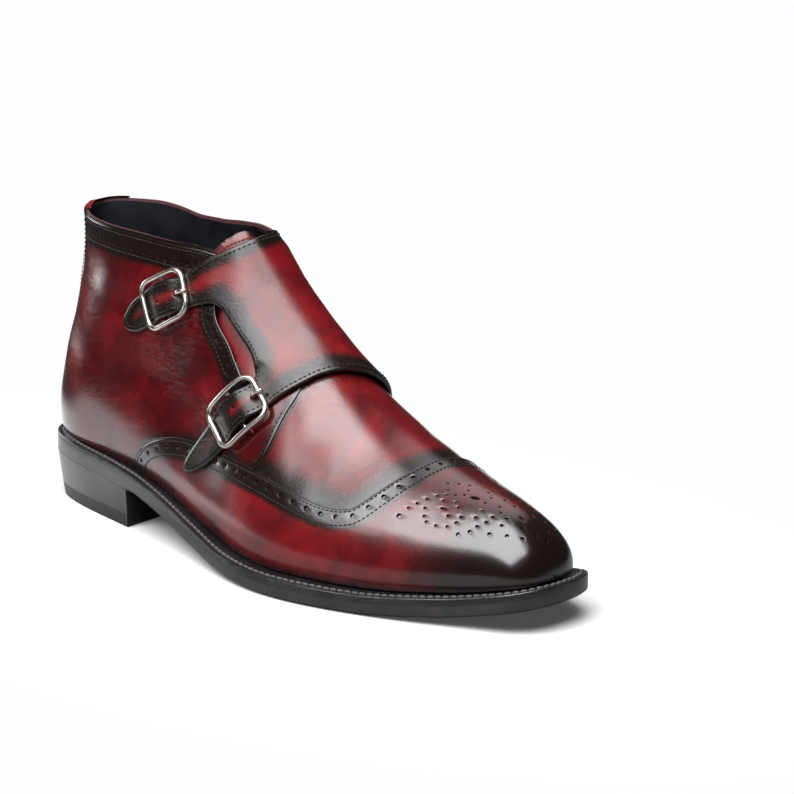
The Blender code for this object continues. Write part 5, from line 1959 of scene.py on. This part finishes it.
def build_softbox(name, place, size, turn, radiance):
    """A rectangular softbox whose light fades toward its edges."""
    data = bpy.data.lights.new(name, 'AREA')
    data.shape = 'RECTANGLE'
    data.size, data.size_y = size
    data.energy = radiance * math.pi * size[0] * size[1]
    data.use_nodes = True
    n = Nodes(data.node_tree)
    split = n.add('ShaderNodeSeparateXYZ')
    n.set(split, 0, n.add('ShaderNodeNewGeometry').outputs['Parametric'])
    fades = []
    for key in ('X', 'Y'):
        off_middle = n.maths('ABSOLUTE', n.maths('SUBTRACT', split.outputs[key], 0.5))
        fades.append(n.step(n.maths('SUBTRACT', 0.5, off_middle), 0.0, SOFTBOX_EDGE))
    n.feed(data.node_tree.nodes["Emission"], Strength=n.product(*fades))
    light = linked(name, data)
    light.location = place
    light.rotation_euler = (0, 0, math.radians(turn))


def build_world():
    """White behind the boot; what the gloss mirrors is dim but for a bright back wall."""
    world = bpy.data.worlds.new("studio")
    world.use_nodes = True
    bpy.context.scene.world = world
    n = Nodes(world.node_tree)
    way = n.add('ShaderNodeTexCoord').outputs['Generated']
    glows = [n.product(n.step(n.toward(way, *middle), *spread), radiance)
             for middle, spread, radiance in (WALL, FILL)]
    seen = n.add('ShaderNodeLightPath').outputs['Is Camera Ray']
    n.feed(world.node_tree.nodes["Background"], Color=(1, 1, 1, 1),
           Strength=n.mix(seen, n.total(*glows, STUDIO_GLOW), PAPER_WHITE, 'FLOAT'))


def floor_material():
    """Pale lit-through paper that fades to white round the boot; darker where the gloss mirrors it."""
    made, n, shader = new_material("pale_paper")
    away = n.add('ShaderNodeVectorMath', operation='LENGTH')
    n.set(away, 0, n.stretched((1.0, 1.7, 1.0)))
    far = n.step(away.outputs['Value'], *WHITE_RING)
    behind = n.step(n.toward(n.place(), -0.94, -0.34, 0.0), 0.34, 0.24)
    beside_heel = n.total(n.step(n.toward(n.place(), -1.0, 0.0, 0.0), 0.07, 0.17), 0.42)
    mirrored = n.total(n.product(behind, beside_heel, 0.50), 0.04)
    direct = n.product(n.maths('SUBTRACT', 1.0, far), PAPER_SHARE)
    seen = n.add('ShaderNodeLightPath').outputs['Is Camera Ray']
    grey = n.mix(seen, mirrored, direct, 'FLOAT')
    colour = n.feed(n.add('ShaderNodeCombineColor'), Red=grey, Green=grey, Blue=grey)
    glow = n.total(n.product(far, PAPER_WHITE - PAPER_GLOW), PAPER_GLOW)
    n.feed(shader, Base_Color=colour.outputs[0], Roughness=1.0, Specular_IOR_Level=0.0,
           Emission_Color=(1, 1, 1, 1), Emission_Strength=n.product(glow, seen))
    return made


def build_stage():
    """Pale floor, soft studio light and the camera."""
    mesh = bpy.data.meshes.new("floor")
    corners = ((-1, -1), (1, -1), (1, 1), (-1, 1))
    mesh.from_pydata([(x * FLOOR_REACH, y * FLOOR_REACH, 0) for x, y in corners], [], [(0, 1, 2, 3)])
    mesh.materials.append(floor_material())
    floor = linked("floor", mesh)
    floor.location.z = -FLOOR_DROP
    build_world()
    for name, values in SOFTBOXES.items():
        build_softbox(name, *values)
    build_camera()
    view = bpy.context.scene.view_settings
    view.view_transform = 'Standard'
    view.look = 'None'


# ---------------------------------------------------------------- add-on

class BootSizes(bpy.types.PropertyGroup):
    """Sizes of the decoration."""
    border: FloatProperty(name="Brogue border", description="Width of the punched borders",
                          default=0.0072, unit='LENGTH')
    stitch_pitch: FloatProperty(name="Stitch pitch", description="Length of one upper stitch",
                                default=0.0021, unit='LENGTH')
    stitch_radius: FloatProperty(name="Thread radius", description="Radius of the upper thread",
                                 default=0.0003, unit='LENGTH')
    welt_pitch: FloatProperty(name="Welt pitch", description="Length of one welt stitch",
                              default=0.0034, unit='LENGTH')


def colour_property(name, description, default):
    """A colour that the panel shows."""
    return FloatVectorProperty(name=name, description=description, default=default, size=3,
                               min=0.0, max=1.0, subtype='COLOR')


class BootColours(bpy.types.PropertyGroup):
    """Colours of the finishes."""
    deep: colour_property("Deep burgundy", "Ground colour of the calf", (0.045, 0.0015, 0.0028))
    lit: colour_property("Lit burgundy", "Rubbed patches of the calf", (0.170, 0.005, 0.008))
    # Colour of the polish, also used to paint shade under the punched panels and the shadows of flap
    # and strap.
    burnt_and_shade: colour_property("Burnish", "Dark polish along the edges", (0.008, 0.004, 0.003))
    lining: colour_property("Lining", "Lining calf", (0.003, 0.0035, 0.006))
    sole: colour_property("Sole black", "Sole and welt leather", (0.020, 0.017, 0.021))
    welt: colour_property("Welt black", "Top of the welt", (0.006, 0.005, 0.006))
    rubber: colour_property("Rubber", "Top piece of the heel", (0.012, 0.012, 0.012))
    steel: colour_property("Steel", "Buckles", (0.70, 0.64, 0.59))
    thread: colour_property("Thread", "Upper thread", (0.012, 0.006, 0.006))
    welt_thread: colour_property("Welt thread", "Thread of the welt", (0.060, 0.056, 0.054))
    raw: colour_property("Punched edge", "Inside of the punched holes", (0.090, 0.020, 0.018))
    cut: colour_property("Cut edge", "Dyed edge of the collar's rim", (0.100, 0.028, 0.033))


def ready_finishes(context):
    """Makes the finishes before the first piece is built."""
    if not FINISHES:
        make_finishes(context.scene.boot_colours)


class BOOT_OT_lining(bpy.types.Operator):
    """Builds the black lining."""
    bl_idname = "boot.lining"
    bl_label = "Lining"

    def execute(self, context):
        ready_finishes(context)
        build_lining()
        return {'FINISHED'}


class BOOT_OT_vamp(bpy.types.Operator):
    """Builds the vamp and the strip round the collar."""
    bl_idname = "boot.vamp"
    bl_label = "Vamp"

    def execute(self, context):
        ready_finishes(context)
        build_vamp()
        return {'FINISHED'}


class BOOT_OT_wing_tip(bpy.types.Operator):
    """Builds the punched wing tip."""
    bl_idname = "boot.wing_tip"
    bl_label = "Wing tip"

    def execute(self, context):
        sizes = context.scene.boot_sizes
        ready_finishes(context)
        build_wing(sizes.border / MM)
        return {'FINISHED'}


class BOOT_OT_quarters(bpy.types.Operator):
    """Builds both punched quarters."""
    bl_idname = "boot.quarters"
    bl_label = "Quarters"

    def execute(self, context):
        ready_finishes(context)
        build_quarters()
        return {'FINISHED'}


class BOOT_OT_back_strip(bpy.types.Operator):
    """Builds the strip over the back seam."""
    bl_idname = "boot.back_strip"
    bl_label = "Back strip"

    def execute(self, context):
        ready_finishes(context)
        build_back_strip()
        return {'FINISHED'}


class BOOT_OT_tongue(bpy.types.Operator):
    """Builds the tongue."""
    bl_idname = "boot.tongue"
    bl_label = "Tongue"

    def execute(self, context):
        ready_finishes(context)
        build_tongue()
        return {'FINISHED'}


class BOOT_OT_monk_strap(bpy.types.Operator):
    """Builds the flap with its two straps."""
    bl_idname = "boot.monk_strap"
    bl_label = "Flap and straps"

    def execute(self, context):
        ready_finishes(context)
        build_monk_strap()
        return {'FINISHED'}


class BOOT_OT_buckles(bpy.types.Operator):
    """Builds both buckles with their prongs."""
    bl_idname = "boot.buckles"
    bl_label = "Buckles"

    def execute(self, context):
        ready_finishes(context)
        build_buckles()
        return {'FINISHED'}


class BOOT_OT_stitching(bpy.types.Operator):
    """Builds all rows of stitches on the upper."""
    bl_idname = "boot.stitching"
    bl_label = "Stitching"

    def execute(self, context):
        sizes = context.scene.boot_sizes
        ready_finishes(context)
        build_stitching(sizes.border / MM, sizes.stitch_pitch / MM, sizes.stitch_radius / MM)
        return {'FINISHED'}


class BOOT_OT_sole(bpy.types.Operator):
    """Builds the outsole, the welt, the insole and the heel."""
    bl_idname = "boot.sole"
    bl_label = "Sole and heel"

    def execute(self, context):
        sizes = context.scene.boot_sizes
        ready_finishes(context)
        build_sole(sizes.welt_pitch / MM)
        return {'FINISHED'}


class BOOT_OT_stage(bpy.types.Operator):
    """Builds the floor, the lights and the camera."""
    bl_idname = "boot.stage"
    bl_label = "Stage"

    def execute(self, context):
        build_stage()
        return {'FINISHED'}


OPERATORS = (
    BOOT_OT_lining, BOOT_OT_vamp, BOOT_OT_wing_tip, BOOT_OT_quarters, BOOT_OT_back_strip,
    BOOT_OT_tongue, BOOT_OT_monk_strap, BOOT_OT_buckles, BOOT_OT_stitching, BOOT_OT_sole,
    BOOT_OT_stage,
)


class BOOT_PT_panel(bpy.types.Panel):
    """Sidebar panel that lists the steps of the boot."""
    bl_label = "Double monk strap boot"
    bl_space_type = 'VIEW_3D'
    bl_region_type = 'UI'
    bl_category = "Boot"

    def draw(self, context):
        for values in (context.scene.boot_sizes, context.scene.boot_colours):
            for key in type(values).__annotations__:
                self.layout.prop(values, key)
        for operator in OPERATORS:
            self.layout.operator(operator.bl_idname)


CLASSES = (BootSizes, BootColours, *OPERATORS, BOOT_PT_panel)


def register():
    """Adds the boot's sizes, colours, steps and panel."""
    for item in CLASSES:
        bpy.utils.register_class(item)
    bpy.types.Scene.boot_sizes = PointerProperty(type=BootSizes)
    bpy.types.Scene.boot_colours = PointerProperty(type=BootColours)


def unregister():
    """Takes them away again."""
    del bpy.types.Scene.boot_sizes
    del bpy.types.Scene.boot_colours
    for item in reversed(CLASSES):
        bpy.utils.unregister_class(item)


def main():
    """Builds the whole boot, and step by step."""
    register()
    for operator in OPERATORS:
        step = operator.bl_idname.split(".")[1]
        getattr(bpy.ops.boot, step)()


if __name__ == "__main__":
    main()
